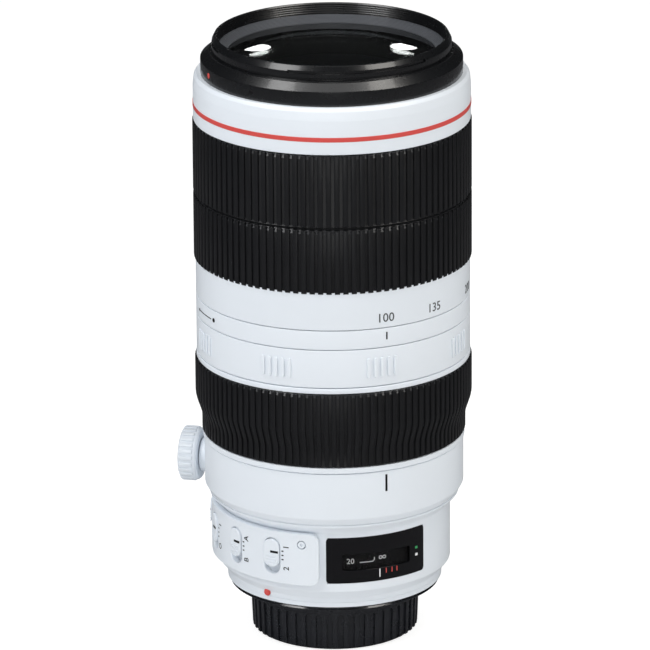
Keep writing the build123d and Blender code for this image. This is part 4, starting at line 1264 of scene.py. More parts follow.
@dataclass
class FocusRing(SubAssembly):
    """The focus ring: a ribbed grip that narrows at the rear."""

    body: str = "focus_ring"
    ribs: int = 112
    rib_share: float = 0.6
    proud: float = 0.55
    tail_radius: float = 44.9
    taper_low: float = 6.1
    taper_high: float = 12.9
    taper_ease: float = 1.2
    taper_runs: int = 8
    end_gap: float = 0.1
    end_proud: float = 0.15
    ramp_height: float = 1.1
    ramp_drop: float = 0.6
    rubber: Span = span_of("focus_rubber")

    def build(self) -> None:
        """Make the sleeve and its ribs."""
        low, high = self.rubber.low, self.rubber.high
        top = self.rubber.radius - self.proud
        tail = self.tail_radius - self.proud
        inner = tail - 1.0
        corners = [
            (inner, low + self.end_gap), (tail + 0.3, low + self.end_gap), (tail + 0.3, low + 0.4),
            (tail, low + 0.9), (tail, low + self.taper_low, 4.0),
            (top, low + self.taper_high, 4.0), (top, high - self.ramp_height - self.end_gap),
            (top - self.ramp_drop, high - self.end_gap), (inner, high - self.end_gap),
        ]
        sleeve = lathe_mesh(rounded(corners, 6))
        self.fit("focus_grip_sleeve", sleeve, Finishes.GRIP, ["focus_shell"], slot="grip_rubber")
        levels = [
            (low, tail, self.end_proud), (low + 0.2, tail, self.proud * 0.8),
            (low + 0.6, tail, self.proud),
        ]
        start = low + self.taper_low - self.taper_ease
        length = self.taper_high - self.taper_low + 2 * self.taper_ease
        for index in range(self.taper_runs + 1):
            share = index / self.taper_runs
            height = start + length * share
            eased = share * share * (3 - 2 * share)
            levels.append((height, tail + (top - tail) * eased, self.proud))
        levels += [
            (high - 0.5, top, self.proud), (high - 0.15, top, self.proud * 0.8),
            (high, top, self.end_proud),
        ]
        width = math.tau * self.rubber.radius / self.ribs * self.rib_share
        unit = rib_mesh(levels, width)
        mesh = self.bench.repeat.run(unit, self.ribs, 0, 360 / self.ribs, Finishes.GRIP)
        self.fit("focus_grip_ribs", mesh, Finishes.GRIP, ["focus_rubber"])
        # The ramp at the groove ends wears the lighter rubber: a painted highlight where it faces up.
        mesh = ramp_mesh(top + 0.02, high - 0.08, self.ramp_height, self.ramp_drop)
        self.fit("focus_groove_ends", mesh, Finishes.GROOVE_END_HIGHLIGHT, slot="grip_rubber")


@dataclass
class MiddleBarrel(SubAssembly):
    """The fixed index ring and barrel lips, and the tension ring that turns between them."""

    groups: int = 8
    group_first: float = -2.0
    group_ribs: int = 5
    rib_pitch: float = 2.4
    rib_width: float = 1.25
    rib_margin: float = 3.1
    rib_proud: float = 0.62
    bar_bevel: float = 0.2
    tick_width: float = 0.5
    tick_height: float = 2.6
    tick_lift: float = 3.9
    lock_lift: float = 3.2
    lock_dot_radius: float = 0.75
    lock_dot_angle: float = -82.5
    lock_line_angle: float = -91.5
    lock_line_length: float = 11.0
    lock_line_width: float = 0.3
    lock_arrow_angle: float = -98.6
    lip_gap: float = 0.3
    index: Span = span_of("index_ring")
    tension: Span = span_of("tension_ring")
    outer: Span = span_of("outer_barrel")
    focus: Span = span_of("focus_shell")
    seat: Span = span_of("collar_seat")

    def build(self) -> None:
        """Make the rings and their marks."""
        self._index_ring()
        self._tension_ring()
        self._lips()

    @staticmethod
    def _plain(span: Span, wall: float, edge: float) -> bpy.types.Mesh:
        """A plain turned ring with softened edges.

        Args:
            span: The room that it takes.
            wall: Its thickness.
            edge: How far its outer edges are rounded.

        Returns:
            The mesh, in metres.
        """
        inner = span.radius - wall
        corners = [
            (inner, span.low), (span.radius, span.low, edge),
            (span.radius, span.high, edge), (inner, span.high),
        ]
        return lathe_mesh(rounded(corners))

    def _index_ring(self) -> None:
        """The fixed index band, its tick and the lock arrow with its dot."""
        self.fit("index_band", self._plain(self.index, 0.9, 0.2), Finishes.ENAMEL, ["index_ring"])
        radius = self.index.radius + PRINT_LIFT
        tick = printed(rounded_box(self.tick_width, self.tick_height, 0.1))
        self.mark("zoom_index_tick", tick, radius, 0, self.index.low + self.tick_lift)
        line = rounded_box(self.lock_line_length, self.lock_line_width, 0.05)
        marks = (
            ("dot", circle(self.lock_dot_radius), self.lock_dot_angle),
            ("line", line, self.lock_line_angle),
            ("arrow", [(-0.8, 0), (0.5, 0.6), (0.5, -0.6)], self.lock_arrow_angle),
        )
        for name, outline, angle in marks:
            self.mark(f"tension_{name}", printed(outline), radius, angle,
                      self.index.low + self.lock_lift)

    def _tension_ring(self) -> None:
        """The white tension ring with its groups of raised bars."""
        body = Span(self.tension.low, self.tension.high, self.index.radius)
        self.fit("tension_band", self._plain(body, 0.8, 0.25), Finishes.ENAMEL, ["tension_ring"],
                 body="tension_ring")
        tall = body.height - 2 * self.rib_margin
        outline = rounded_box(self.rib_width, tall, self.rib_width * 0.48)
        bar = flat_plate([outline], self.rib_proud, self.bar_bevel)
        unit = wrapped(bar, body.radius - 0.08, 0, body.low + body.height / 2, 0.4)
        step = math.degrees(self.rib_pitch / body.radius)
        first = self.group_first - step * (self.group_ribs - 1) / 2
        mesh = self.bench.repeat.run(unit, self.groups * self.group_ribs, first, step, Finishes.ENAMEL,
                                     self.group_ribs, 360 / self.groups)
        self.fit("tension_bars", mesh, Finishes.ENAMEL, slot="white_paint", body="tension_ring")

    def _lips(self) -> None:
        """The white lips above and below the focus ring, with the barrel between them."""
        lip_low = self.focus.high + self.lip_gap
        lip_high = self.tension.low - self.lip_gap
        focus_low = self.focus.low
        radius = self.outer.radius
        corners = [
            (41.4, focus_low), (42.55, focus_low), (42.55, focus_low + 13.0),
            (44.55, focus_low + 13.4), (44.55, lip_low), (radius, lip_low, 0.2),
            (radius, lip_high, 0.35), (45.45, lip_high),
            (45.45, self.index.high - 1.0), (43.75, self.index.high - 1.0),
            (43.75, focus_low + 11.5), (41.4, focus_low + 11.0),
        ]
        self.fit("barrel_lip", lathe_mesh(rounded(corners)), Finishes.ENAMEL, ["outer_barrel"])
        seat = self.seat
        corners = [
            (41.1, seat.low), (42.28, seat.low), (42.28, focus_low - 2.3),
            (seat.radius, focus_low - 2.3, 0.2), (seat.radius, focus_low - self.lip_gap, 0.35),
            (41.35, focus_low - self.lip_gap), (41.35, seat.high), (40.35, seat.high),
            (40.35, focus_low - 3.0), (41.1, focus_low - 4.0),
        ]
        self.fit("collar_seat_lip", lathe_mesh(rounded(corners)), Finishes.ENAMEL, ["collar_seat"])


@dataclass
class TripodCollar(SubAssembly):
    """The tripod collar with its lock knob, foot and the foot's clamp screw."""

    body: str = "tripod_collar"
    chamfer_radial: float = 1.6
    chamfer_axial: float = 2.5
    knob_angle: float = -126.5
    knob_reach: float = 46.7
    knob_radius: float = 9.5
    knob_thick: float = 6.6
    knob_smooth: float = 1.3
    knob_ribs: int = 26
    knob_rib_width: float = 1.2
    boss_radius: float = 6.0
    boss_height: float = 3.2
    bore: float = 42.36
    platform_width: float = 24.0
    platform_reach: float = 50.2
    platform_trim: float = 2.4
    line_size: tuple[float, float] = (0.75, 6.0)
    line_angle: float = 0.8
    line_lift: float = 14.5
    sole_thick: float = 6.0
    sole_hole: float = 2.6
    arm_width: float = 20.0
    pad_size: tuple[float, float] = (22.0, 50.0)
    pad_hole: float = 5.0
    clamp_reach: float = 10.3
    clamp_radius: float = 6.0
    clamp_length: float = 7.0
    clamp_ribs: int = 18
    ring: Span = span_of("collar_ring")

    def build(self) -> None:
        """Make the collar and what is on it."""
        self._ring()
        self._knob()
        self._foot()
        self._clamp()

    @property
    def platform_height(self) -> float:
        """How tall the foot's platform and arm are."""
        return self.ring.height - self.chamfer_axial - self.platform_trim

    def _ring(self) -> None:
        """The collar's white ring with the knob's boss and the foot's platform."""
        radius, low, high = self.ring.radius, self.ring.low, self.ring.high
        corners = [
            (self.bore, low), (radius - self.chamfer_radial, low, 0.15),
            (radius, low + self.chamfer_axial, 1.2), (radius, high, 0.3),
            (self.bore, high),
        ]
        mesh = lathe_mesh(rounded(corners))
        corners = [
            (0, 0), (self.boss_radius + 0.5, 0), (self.boss_radius, 1.5, 0.5),
            (self.boss_radius, self.boss_height, 0.25), (0, self.boss_height),
        ]
        boss = lathe_mesh(rounded(corners), 64)
        reach = self.knob_reach - 0.35 - self.boss_height
        moved(boss, radial_frame(self.knob_angle, reach, middle_of("lock_knob")))
        tall = self.platform_height
        start = self.bore + 1
        platform = flat_plate([rounded_box(self.platform_width, tall, 1.2)],
                              self.platform_reach - self.bore - 1, 0.5)
        lift = self.chamfer_axial + self.platform_trim / 2
        moved(platform, radial_frame(180, start, low + lift + tall / 2))
        mesh = self.bench.boolean(mesh, [boss, platform], "UNION")
        self.fit("collar_band", mesh, Finishes.ENAMEL, ["collar_ring"])
        line = printed(rounded_box(*self.line_size, 0.1))
        self.mark("collar_index_line", line, radius + PRINT_LIFT, self.line_angle,
                  low + self.line_lift)

    def _knob(self) -> None:
        """The white knob, ribbed round its rim with a plain band next to the collar."""
        place = radial_frame(self.knob_angle, self.knob_reach, middle_of("lock_knob"))
        core = self.knob_radius - 0.55
        thick = self.knob_thick
        corners = [
            (0, -0.2), (2.5, -0.2), (2.5, 0), (core - 0.6, 0, 0.3),
            (core, 0.7, 0.25), (core, self.knob_smooth - 0.1),
            (core + 0.1, self.knob_smooth + 0.1), (core + 0.1, thick - 0.6),
            (core - 0.5, thick, 0.4), (6.6, thick, 0.2), (6.2, thick - 0.5, 0.2),
            (0, thick - 0.5),
        ]
        mesh = moved(lathe_mesh(rounded(corners), 120), place)
        self.fit("lock_knob_body", mesh, Finishes.ENAMEL, ["lock_knob"], body="lock_knob")
        start = self.knob_smooth
        levels = [
            (start, core, 0.1), (start + 0.3, core, 0.5), (thick - 1.0, core, 0.55),
            (thick - 0.45, core, 0.35), (thick - 0.1, core - 0.5, 0.1),
        ]
        unit = rib_mesh(levels, self.knob_rib_width, 0.3)
        ribs = self.bench.repeat.run(unit, self.knob_ribs, 0, 360 / self.knob_ribs, Finishes.ENAMEL)
        self.fit("lock_knob_ribs", moved(ribs, place), Finishes.ENAMEL, slot="white_paint",
                 body="lock_knob")

    def _foot(self) -> None:
        """The foot with its arm, its thread's hole and its pad."""
        low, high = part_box("tripod_foot")
        centre = middle_of("tripod_foot")
        outline = rounded_box((high.x - low.x) / MM, (high.z - low.z) / MM, 6.0)
        sole = flat_plate([outline, circle(self.sole_hole, 40)], self.sole_thick, 0.9)
        reach = high.y / MM - self.sole_thick
        moved(sole, radial_frame(180, reach, centre))
        inner = self.platform_reach + 0.1
        arm = flat_plate([rounded_box(self.arm_width, self.platform_height, 1.5)],
                         reach - inner + 0.5, 0.4)
        moved(arm, radial_frame(180, inner, middle_of("foot_screw")))
        mesh = self.bench.boolean(sole, [arm], "UNION")
        self.fit("foot_body", mesh, Finishes.ENAMEL, ["tripod_foot"])
        pad = flat_plate([rounded_box(*self.pad_size, 4.0), circle(self.pad_hole, 48)], 0.35, 0.12)
        moved(pad, radial_frame(180, reach + self.sole_thick - 0.05, centre))
        self.fit("foot_pad", pad, Finishes.GRIP, slot="grip_rubber")

    def _clamp(self) -> None:
        """The black screw that clamps the foot, ribbed round its rim."""
        radius, length = self.clamp_radius, self.clamp_length
        middle = (self.clamp_reach, middle_of("foot_screw", 1), middle_of("foot_screw"))
        place = Matrix.Translation(middle) @ Matrix.Rotation(math.radians(90), 4, "Y")
        corners = [
            (0, 0), (5.4, 0, 0.3), (radius, 0.6, 0.2), (radius, length - 0.6, 0.4),
            (5.3, length, 0.4), (3.4, length, 0.2), (3.0, length - 0.4), (0, length - 0.4),
        ]
        mesh = moved(lathe_mesh(rounded(corners), 72), place)
        self.fit("clamp_screw", mesh, Finishes.FRONT_BLACK, ["foot_screw"], body="foot_screw")
        levels = [(0.7, radius, 0.1), (1.0, radius, 0.5), (6.0, radius, 0.5), (6.4, radius, 0.1)]
        unit = rib_mesh(levels, self.knob_rib_width, 0.4)
        ribs = self.bench.repeat.run(unit, self.clamp_ribs, 0, 360 / self.clamp_ribs,
                                     Finishes.FRONT_BLACK)
        self.fit("clamp_screw_ribs", moved(ribs, place), Finishes.FRONT_BLACK, slot="black_satin",
                 body="foot_screw")


@dataclass
class RearHousing(SubAssembly):
    """The rear housing with its distance window, scale drum, gasket and mount dot; the switch panel on
    it is made by SwitchPanel.
    """

    base_radius: float = 36.8
    wall_radius: float = 39.6
    shoulder_radius: float = 42.4
    skirt_rise: float = 3.55
    cone_rise: float = 6.65
    shoulder_rise: float = 27.75
    window_half: float = 26.4
    opening_left: float = -18.6
    opening_right: float = 17.0
    opening_lip: float = 0.9
    housing_wall: float = 1.4
    seat_bore: float = 32.5
    frame_depth: float = 0.8
    pane_depth: float = 0.4
    drum_band: float = 14.5
    drum_wall: float = 0.7
    drum_print: float = 0.05
    figures: tuple[tuple[str, float], ...] = (
        ("20", -14.5), ("10", -33.0), ("7", -49.0), ("5", -66.0), ("4", -85.0), ("3", -108.0))
    figure_height: float = 1.9
    hook: tuple[Point, ...] = (
        (-3.4, -1.1), (1.2, -1.1), (1.9, -0.4), (1.9, 0.5),
        (1.6, 0.5), (1.6, -0.3), (1.1, -0.8), (-3.4, -0.8))
    frame_print_lift: float = 0.13
    side_mark_angle: float = 21.6
    red_mark_angles: tuple[float, ...] = (3.4, 6.6, 9.4)
    seal_bevel: float = 0.5
    dot_angle: float = -61.0
    dot_lift: float = 2.95
    span: Span = span_of("rear_housing")

    def build(self) -> None:
        """Make the housing and what it carries."""
        self._shell()
        self._window()
        self._scale()
        self._mount()

    def _opening(self) -> tuple[float, float]:
        """The window opening's lower and upper heights, from the pane."""
        low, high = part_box("window_pane")
        return low.z / MM + self.opening_lip, high.z / MM - self.opening_lip

    def _shell(self) -> None:
        """The white shell, with a hole behind the window."""
        low = self.span.low
        inner = self.wall_radius - self.housing_wall
        base, outer = self.base_radius, self.shoulder_radius + 0.2
        shoulder = low + self.shoulder_rise
        corners = [
            (self.seat_bore, low + 1.65), (self.seat_bore, low), (base - 0.15, low, 0.2),
            (base - 0.15, low + 1.6, 0.08), (base - 0.35, low + 1.7), (base, low + 1.8, 0.08),
            (base, low + self.skirt_rise, 0.5), (self.wall_radius, low + self.cone_rise, 1.0),
            (self.wall_radius, shoulder, 0.8), (self.shoulder_radius, shoulder + 2.8, 0.3),
            (self.shoulder_radius, shoulder + 2.95), (outer, shoulder + 3.0, 0.05),
            (outer, self.span.high, 0.1), (41.1, self.span.high),
            (41.0, shoulder + 2.8), (inner, shoulder), (inner, low + self.cone_rise),
            (35.4, low + 3.25), (27.4, low + 3.25), (27.4, low + 1.65),
        ]
        mesh = lathe_mesh(rounded(corners))
        bottom, top = self._opening()
        window = Span.of("window_bezel")
        cutters = [
            sector_mesh(self.wall_radius + 2, self.wall_radius - 0.7, window.low - 0.05,
                        window.high + 0.05, -self.window_half - 0.1, self.window_half + 0.1),
            sector_mesh(self.wall_radius + 2, inner - 1, bottom - 0.8, top + 0.8,
                        self.opening_left - 1.4, self.opening_right + 1.4),
        ]
        mesh = self.bench.boolean(mesh, cutters, "DIFFERENCE")
        self.fit("housing_shell", mesh, Finishes.ENAMEL, ["rear_housing"])

    def _window(self) -> None:
        """The glossy black frame and the clear pane."""
        low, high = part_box("window_bezel")
        bottom, top = self._opening()
        radius = self.wall_radius
        width = math.radians(self.window_half * 2) * radius
        tall = (high.z - low.z) / MM
        middle = (high.z + low.z) / 2 / MM
        left = math.radians(self.opening_left) * radius
        right = math.radians(self.opening_right) * radius
        hole = shifted(rounded_box(right - left, top - bottom, 0.7), (left + right) / 2,
                       (bottom + top) / 2 - middle)
        plate = flat_plate([rounded_box(width, tall, 1.3), hole], self.frame_depth, 0.1)
        mesh = wrapped(plate, radius - 0.68, 0, middle)
        self.fit("window_frame", mesh, Finishes.GLOSS, ["window_bezel"])
        outline = rounded_box(right - left + 1, top - bottom + 1, 0.5)
        pane = flat_plate([shifted(outline, (left + right) / 2, 0)], self.pane_depth)
        mesh = wrapped(pane, radius - 1.1, 0, (bottom + top) / 2)
        self.fit("window_glass", mesh, Finishes.PANE, ["window_pane"])

    def _scale(self) -> None:
        """The drum behind the window, with its figures."""
        drum = Span.of("distance_scale")
        bottom, top = self._opening()
        inner, end = drum.radius - self.drum_wall, drum.low + self.drum_band
        corners = [(inner, drum.low), (drum.radius, drum.low), (drum.radius, end), (inner, end)]
        self.fit("scale_drum", lathe_mesh(rounded(corners)), Finishes.SCALE_DRUM, slot="black_satin",
                 body="focus_drive")
        middle = (bottom + top) / 2
        marks = [(f"figure_{text}", lettering(text, self.figure_height), angle, -0.2)
                 for text, angle in self.figures]
        marks.append(("far_mark", lettering("∞", 1.3), 2.6, 0.2))
        marks.append(("hook", printed(self.hook, self.drum_print), -4.5, 0.1))
        for name, mesh, angle, lift in marks:
            self.mark(f"distance_{name}", mesh, drum.radius + PRINT_LIFT, angle, middle + lift,
                      Finishes.MARK_WHITE, body="focus_drive")
        self._fixed_marks(bottom)

    def _fixed_marks(self, bottom: float) -> None:
        """The marks on the window's frame.

        Args:
            bottom: The opening's lower height.
        """
        tick = rounded_box(0.35, 2.9, 0.05)
        block = rounded_box(1.1, 0.9, 0.2)
        bar = rounded_box(0.3, 1.7, 0.05)
        marks = [
            ("distance_index", tick, 0.0, -1.75, Finishes.MARK_WHITE),
            ("scale_upper_mark", block, self.side_mark_angle, 4.4, Finishes.MARK_GREEN),
            ("scale_lower_mark", block, self.side_mark_angle, 1.9, Finishes.MARK_WHITE),
        ]
        marks += [(f"infrared_mark_{number}", bar, angle, -1.2, Finishes.RED)
                  for number, angle in enumerate(self.red_mark_angles, 1)]
        for name, outline, angle, lift, finish in marks:
            self.mark(name, printed(outline, self.drum_print), self.wall_radius + self.frame_print_lift,
                      angle, bottom + lift, finish)

    def _mount(self) -> None:
        """The gasket and the red mount dot."""
        gasket = Span.of("mount_gasket")
        slim = gasket.radius - self.seal_bevel
        corners = [
            (self.seat_bore, gasket.low), (gasket.radius, gasket.low, 0.2),
            (gasket.radius, gasket.low + 0.25, 0.1),
            (slim, gasket.low + 0.25 + self.seal_bevel * 1.7, 0.1), (slim, gasket.high),
            (self.seat_bore, gasket.high),
        ]
        self.fit("mount_seal", lathe_mesh(rounded(corners)), Finishes.GASKET, ["mount_gasket"])
        dot = lathe_mesh(rounded([(0, 0), (1.3, 0), (1.3, 0.5), (0.9, 1.05, 0.4), (0, 1.2)]), 40)
        moved(dot, radial_frame(self.dot_angle, self.base_radius - 0.25,
                                self.span.low + self.dot_lift))
        self.fit("mount_dot", dot, Finishes.RED, slot="white_paint")


@dataclass
class SwitchPanel(SubAssembly):
    """The raised panel with its four slide switches, their marks and its screw."""

    radius: float = 42.0
    base: float = 39.65
    left: float = -134.0
    right: float = -30.0
    corner: float = 3.0
    edge: float = 0.3
    slot_width: float = 6.2
    slot_height: float = 12.8
    slot_drop: float = 2.6
    button_width: float = 5.5
    button_heights: tuple[float, float] = (10.2, 8.2)
    button_corner: float = 2.6
    button_thick: float = 2.3
    button_base: float = 40.4
    button_gap: float = 0.3
    button_run: float = 0.7
    ridges: int = 4
    ridge_pitch: float = 1.0
    ridge_drop: float = 2.4
    ridge_base: float = 42.6
    mark_base: float = 42.68
    dash_size: tuple[float, float] = (0.75, 0.42)
    dash_pitch: float = 1.5
    dash_drop: float = 1.0
    figure_side: float = 5.4
    figure_inset: float = 2.6
    screw_angle: float = -38.2
    screw_drop: float = 3.9
    screw_radius: float = 1.3
    screw_height: float = 0.85
    screw_sunk: float = 1.15
    mount_screws: int = 4
    mount_screw_height: float = 0.9
    mount_screw_first: float = 45.0
    mount_screw_reach: float = 29.6
    figure_height: float = 2.0
    mark_lead: float = 1.7
    mark_rise: float = 0.6
    dash_lead: float = 5.6
    angles: tuple[float, ...] = (-53.0, -75.5, -98.0, -120.5)
    names: tuple[str, ...] = ("range_switch", "focus_switch", "stabiliser_switch", "mode_switch")
    marks: tuple[tuple[str, ...], ...] = (("1", "2"), ("A", "B"), ("I", "O"), ("1", "2", "3"))
    panel: Span = span_of("switch_panel")

    @property
    def slot_top(self) -> float:
        """The height where the slots for the buttons end."""
        return self.panel.high - self.slot_drop

    def build(self) -> None:
        """Make the panel, the switches and the screws."""
        self._plate()
        for angle, name, marks in zip(self.angles, self.names, self.marks):
            self._switch(angle, name, marks)
        self._screws()

    def _plate(self) -> None:
        """The panel, with a hole for each switch and one for its screw."""
        width = math.radians(self.right - self.left) * self.radius
        tall = self.panel.high - self.panel.low
        centre = (self.left + self.right) / 2
        middle = (self.panel.low + self.panel.high) / 2
        outlines = [rounded_box(width, tall, self.corner)]
        for angle in self.angles:
            across = math.radians(angle - centre) * self.radius
            hole = rounded_box(self.slot_width, self.slot_height, self.slot_width * CAPSULE)
            outlines.append(shifted(hole, across, self.slot_top - self.slot_height / 2 - middle))
        across = math.radians(self.screw_angle - centre) * self.radius
        hole = circle(self.screw_radius + 0.25)
        outlines.append(shifted(hole, across, self.panel.high - self.screw_drop - middle))
        plate = flat_plate(outlines, self.radius - self.base, self.edge)
        squeeze = self.radius / self.base
        mesh = wrapped(plate, self.base, 0, middle)
        for vert in mesh.vertices:
            reach = math.hypot(vert.co.x, vert.co.y)
            turn = math.degrees(math.atan2(vert.co.x, -vert.co.y)) / squeeze + centre
            outward = direction(turn)
            vert.co.x, vert.co.y = outward.x * reach, outward.y * reach
        tidy(mesh)
        self.fit("panel_plate", mesh, Finishes.ENAMEL, ["switch_panel"])

    def _switch(self, angle: float, name: str, marks: Sequence[str]) -> None:
        """One slide button with its grip lines and black mark, and what is printed beside it.

        Args:
            angle: Where it is, from the index.
            name: Its body's name.
            marks: The figures beside it, from the top.
        """
        top = self.slot_top - self.button_gap
        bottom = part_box(name)[0].z / MM + 0.5
        tall = min(top - bottom, self.button_heights[len(marks) - 2])
        middle = top - tall / 2
        outline = rounded_box(self.button_width, tall, self.button_corner)
        button = flat_plate([outline], self.button_thick, 0.35)
        mesh = wrapped(button, self.button_base, angle, middle, self.button_run)
        self.fit(f"{name}_button", mesh, Finishes.ENAMEL, [name], body=name)
        ridge = flat_plate([rounded_box(4.0, 0.45, 0.2)], 0.3, 0.12)
        ridges = []
        for index in range(self.ridges):
            lift = (index - (self.ridges - 1) / 2) * self.ridge_pitch - self.ridge_drop
            ridges.append(wrapped(ridge.copy(), self.ridge_base, angle, middle + lift, self.button_run))
        self.fit(f"{name}_ridges", self._join(ridges), Finishes.ENAMEL, slot="white_paint", body=name)
        mark_height = middle + self.mark_rise
        line = printed(rounded_box(3.0, 0.8, 0.15))
        self.mark(f"{name}_mark", line, self.mark_base, angle + self.mark_lead, mark_height, body=name)
        surface = self.radius + PRINT_LIFT
        for tick in range(3):
            dash = printed(rounded_box(*self.dash_size, 0.1))
            self.mark(f"{name}_dash_{tick + 1}", dash, surface, angle + self.dash_lead,
                      mark_height - (tick - 1) * self.dash_pitch - self.dash_drop)
        side = math.degrees(self.figure_side / self.radius)
        run = self.slot_height - 2 * self.figure_inset
        for index, text in enumerate(marks):
            height = self.slot_top - self.figure_inset - run * index / (len(marks) - 1)
            self.mark(f"{name}_figure_{index + 1}", lettering(text, self.figure_height, turned=90),
                      surface, angle + side, height)

    @staticmethod
    def _join(meshes: Sequence[bpy.types.Mesh]) -> bpy.types.Mesh:
        """Put several meshes into one.

        Args:
            meshes: The meshes.

        Returns:
            The one mesh.
        """
        work = bmesh.new()
        for mesh in meshes:
            work.from_mesh(mesh)
        joined = bpy.data.meshes.new("joined")
        work.to_mesh(joined)
        work.free()
        tidy(joined)
        return joined

    @staticmethod
    def _screw_mesh(reach: float, tall: float) -> bpy.types.Mesh:
        """A small round screw head with a socket, standing on its own origin.

        Args:
            reach: Its radius.
            tall: Its height.

        Returns:
            The mesh.
        """
        corners = [
            (0, 0), (reach, 0), (reach, tall, 0.2), (reach * 0.42, tall, 0.08),
            (reach * 0.36, tall * 0.4), (0, tall * 0.4),
        ]
        return lathe_mesh(rounded(corners), 40)

    def _screws(self) -> None:
        """The white screw at the panel's right end, and the four that hold the bayonet."""
        mesh = self._screw_mesh(self.screw_radius, self.screw_height)
        moved(mesh, radial_frame(self.screw_angle, self.radius - self.screw_sunk,
                                 self.panel.high - self.screw_drop))
        self.fit("panel_screw", mesh, Finishes.ENAMEL, slot="white_paint")
        tall = self.mount_screw_height
        outward = direction(self.mount_screw_first) * self.mount_screw_reach
        place = Matrix.Translation(outward + Vector((0, 0, Span.of("screws").low + tall)))
        unit = self._screw_mesh(self.screw_radius, tall)
        moved(unit, place @ Matrix.Rotation(math.pi, 4, "X"))
        step = 360 / self.mount_screws
        mesh = self.bench.repeat.run(unit, self.mount_screws, 0, step, Finishes.STEEL)
        self.fit("mount_screws", mesh, Finishes.STEEL, ["screws"])


@dataclass
class RearCap(SubAssembly):
    """The black rear cap with its rounded flutes."""

    body: str = "rear_cap"
    flutes: int = 48
    flute_share: float = 0.56
    flute_depth: float = 0.65
    margin: float = 4.2
    land_foot: float = 0.9
    arch_runs: int = 5
    shrink: float = 0.7
    wall: float = 1.3
    span: Span = span_of("rear_cap")

    def build(self) -> None:
        """Make the cup and the lands between its flutes."""
        radius, high = self.span.radius, self.span.high
        floor_radius = radius - self.flute_depth
        top = high - self.margin
        corners = [
            (0, 0.4), (radius - 6.5, 0.4, 0.1), (radius - 6.9, 0, 0.1),
            (floor_radius, 0, 1.3), (floor_radius, top, 0.0),
            (radius, top + 0.35, 0.2), (radius, high, 0.3),
            (radius - self.wall, high), (radius - self.wall, 2.0, 0.5), (0, 2.0),
        ]
        cup = lathe_mesh(rounded(corners))
        self.fit("cap_cup", self._draft(cup), Finishes.CAP, ["rear_cap"])
        pitch = math.tau * radius / self.flutes
        land = pitch * (1 - self.flute_share) / 2
        reach = pitch / 2 - land
        half: list[Point] = [(-land, self.land_foot)]
        for index in range(self.arch_runs + 1):
            turn = math.radians(90 / self.arch_runs * index)
            half.append((-pitch / 2 + reach * math.cos(turn), top - reach + reach * math.sin(turn)))
        half.append((-pitch / 2, top + 0.5))
        outline = half + [(-across, up) for across, up in reversed(half)]
        plate = flat_plate([outline], self.flute_depth + 0.15, 0.12)
        unit = wrapped(plate, floor_radius - 0.1, 0, 0, 1)
        mesh = self.bench.repeat.run(unit, self.flutes, 0, 360 / self.flutes, Finishes.CAP)
        self.fit("cap_lands", self._draft(mesh), Finishes.CAP, slot="black_plastic")

    def _draft(self, mesh: bpy.types.Mesh) -> bpy.types.Mesh:
        """Narrow a mesh a little towards the ground.

        Args:
            mesh: The mesh, in metres.

        Returns:
            The same mesh.
        """
        for vert in mesh.vertices:
            share = 1 - vert.co.z / MM / self.span.high
            factor = 1 - self.shrink * share / self.span.radius
            vert.co.x *= factor
            vert.co.y *= factor
        return mesh


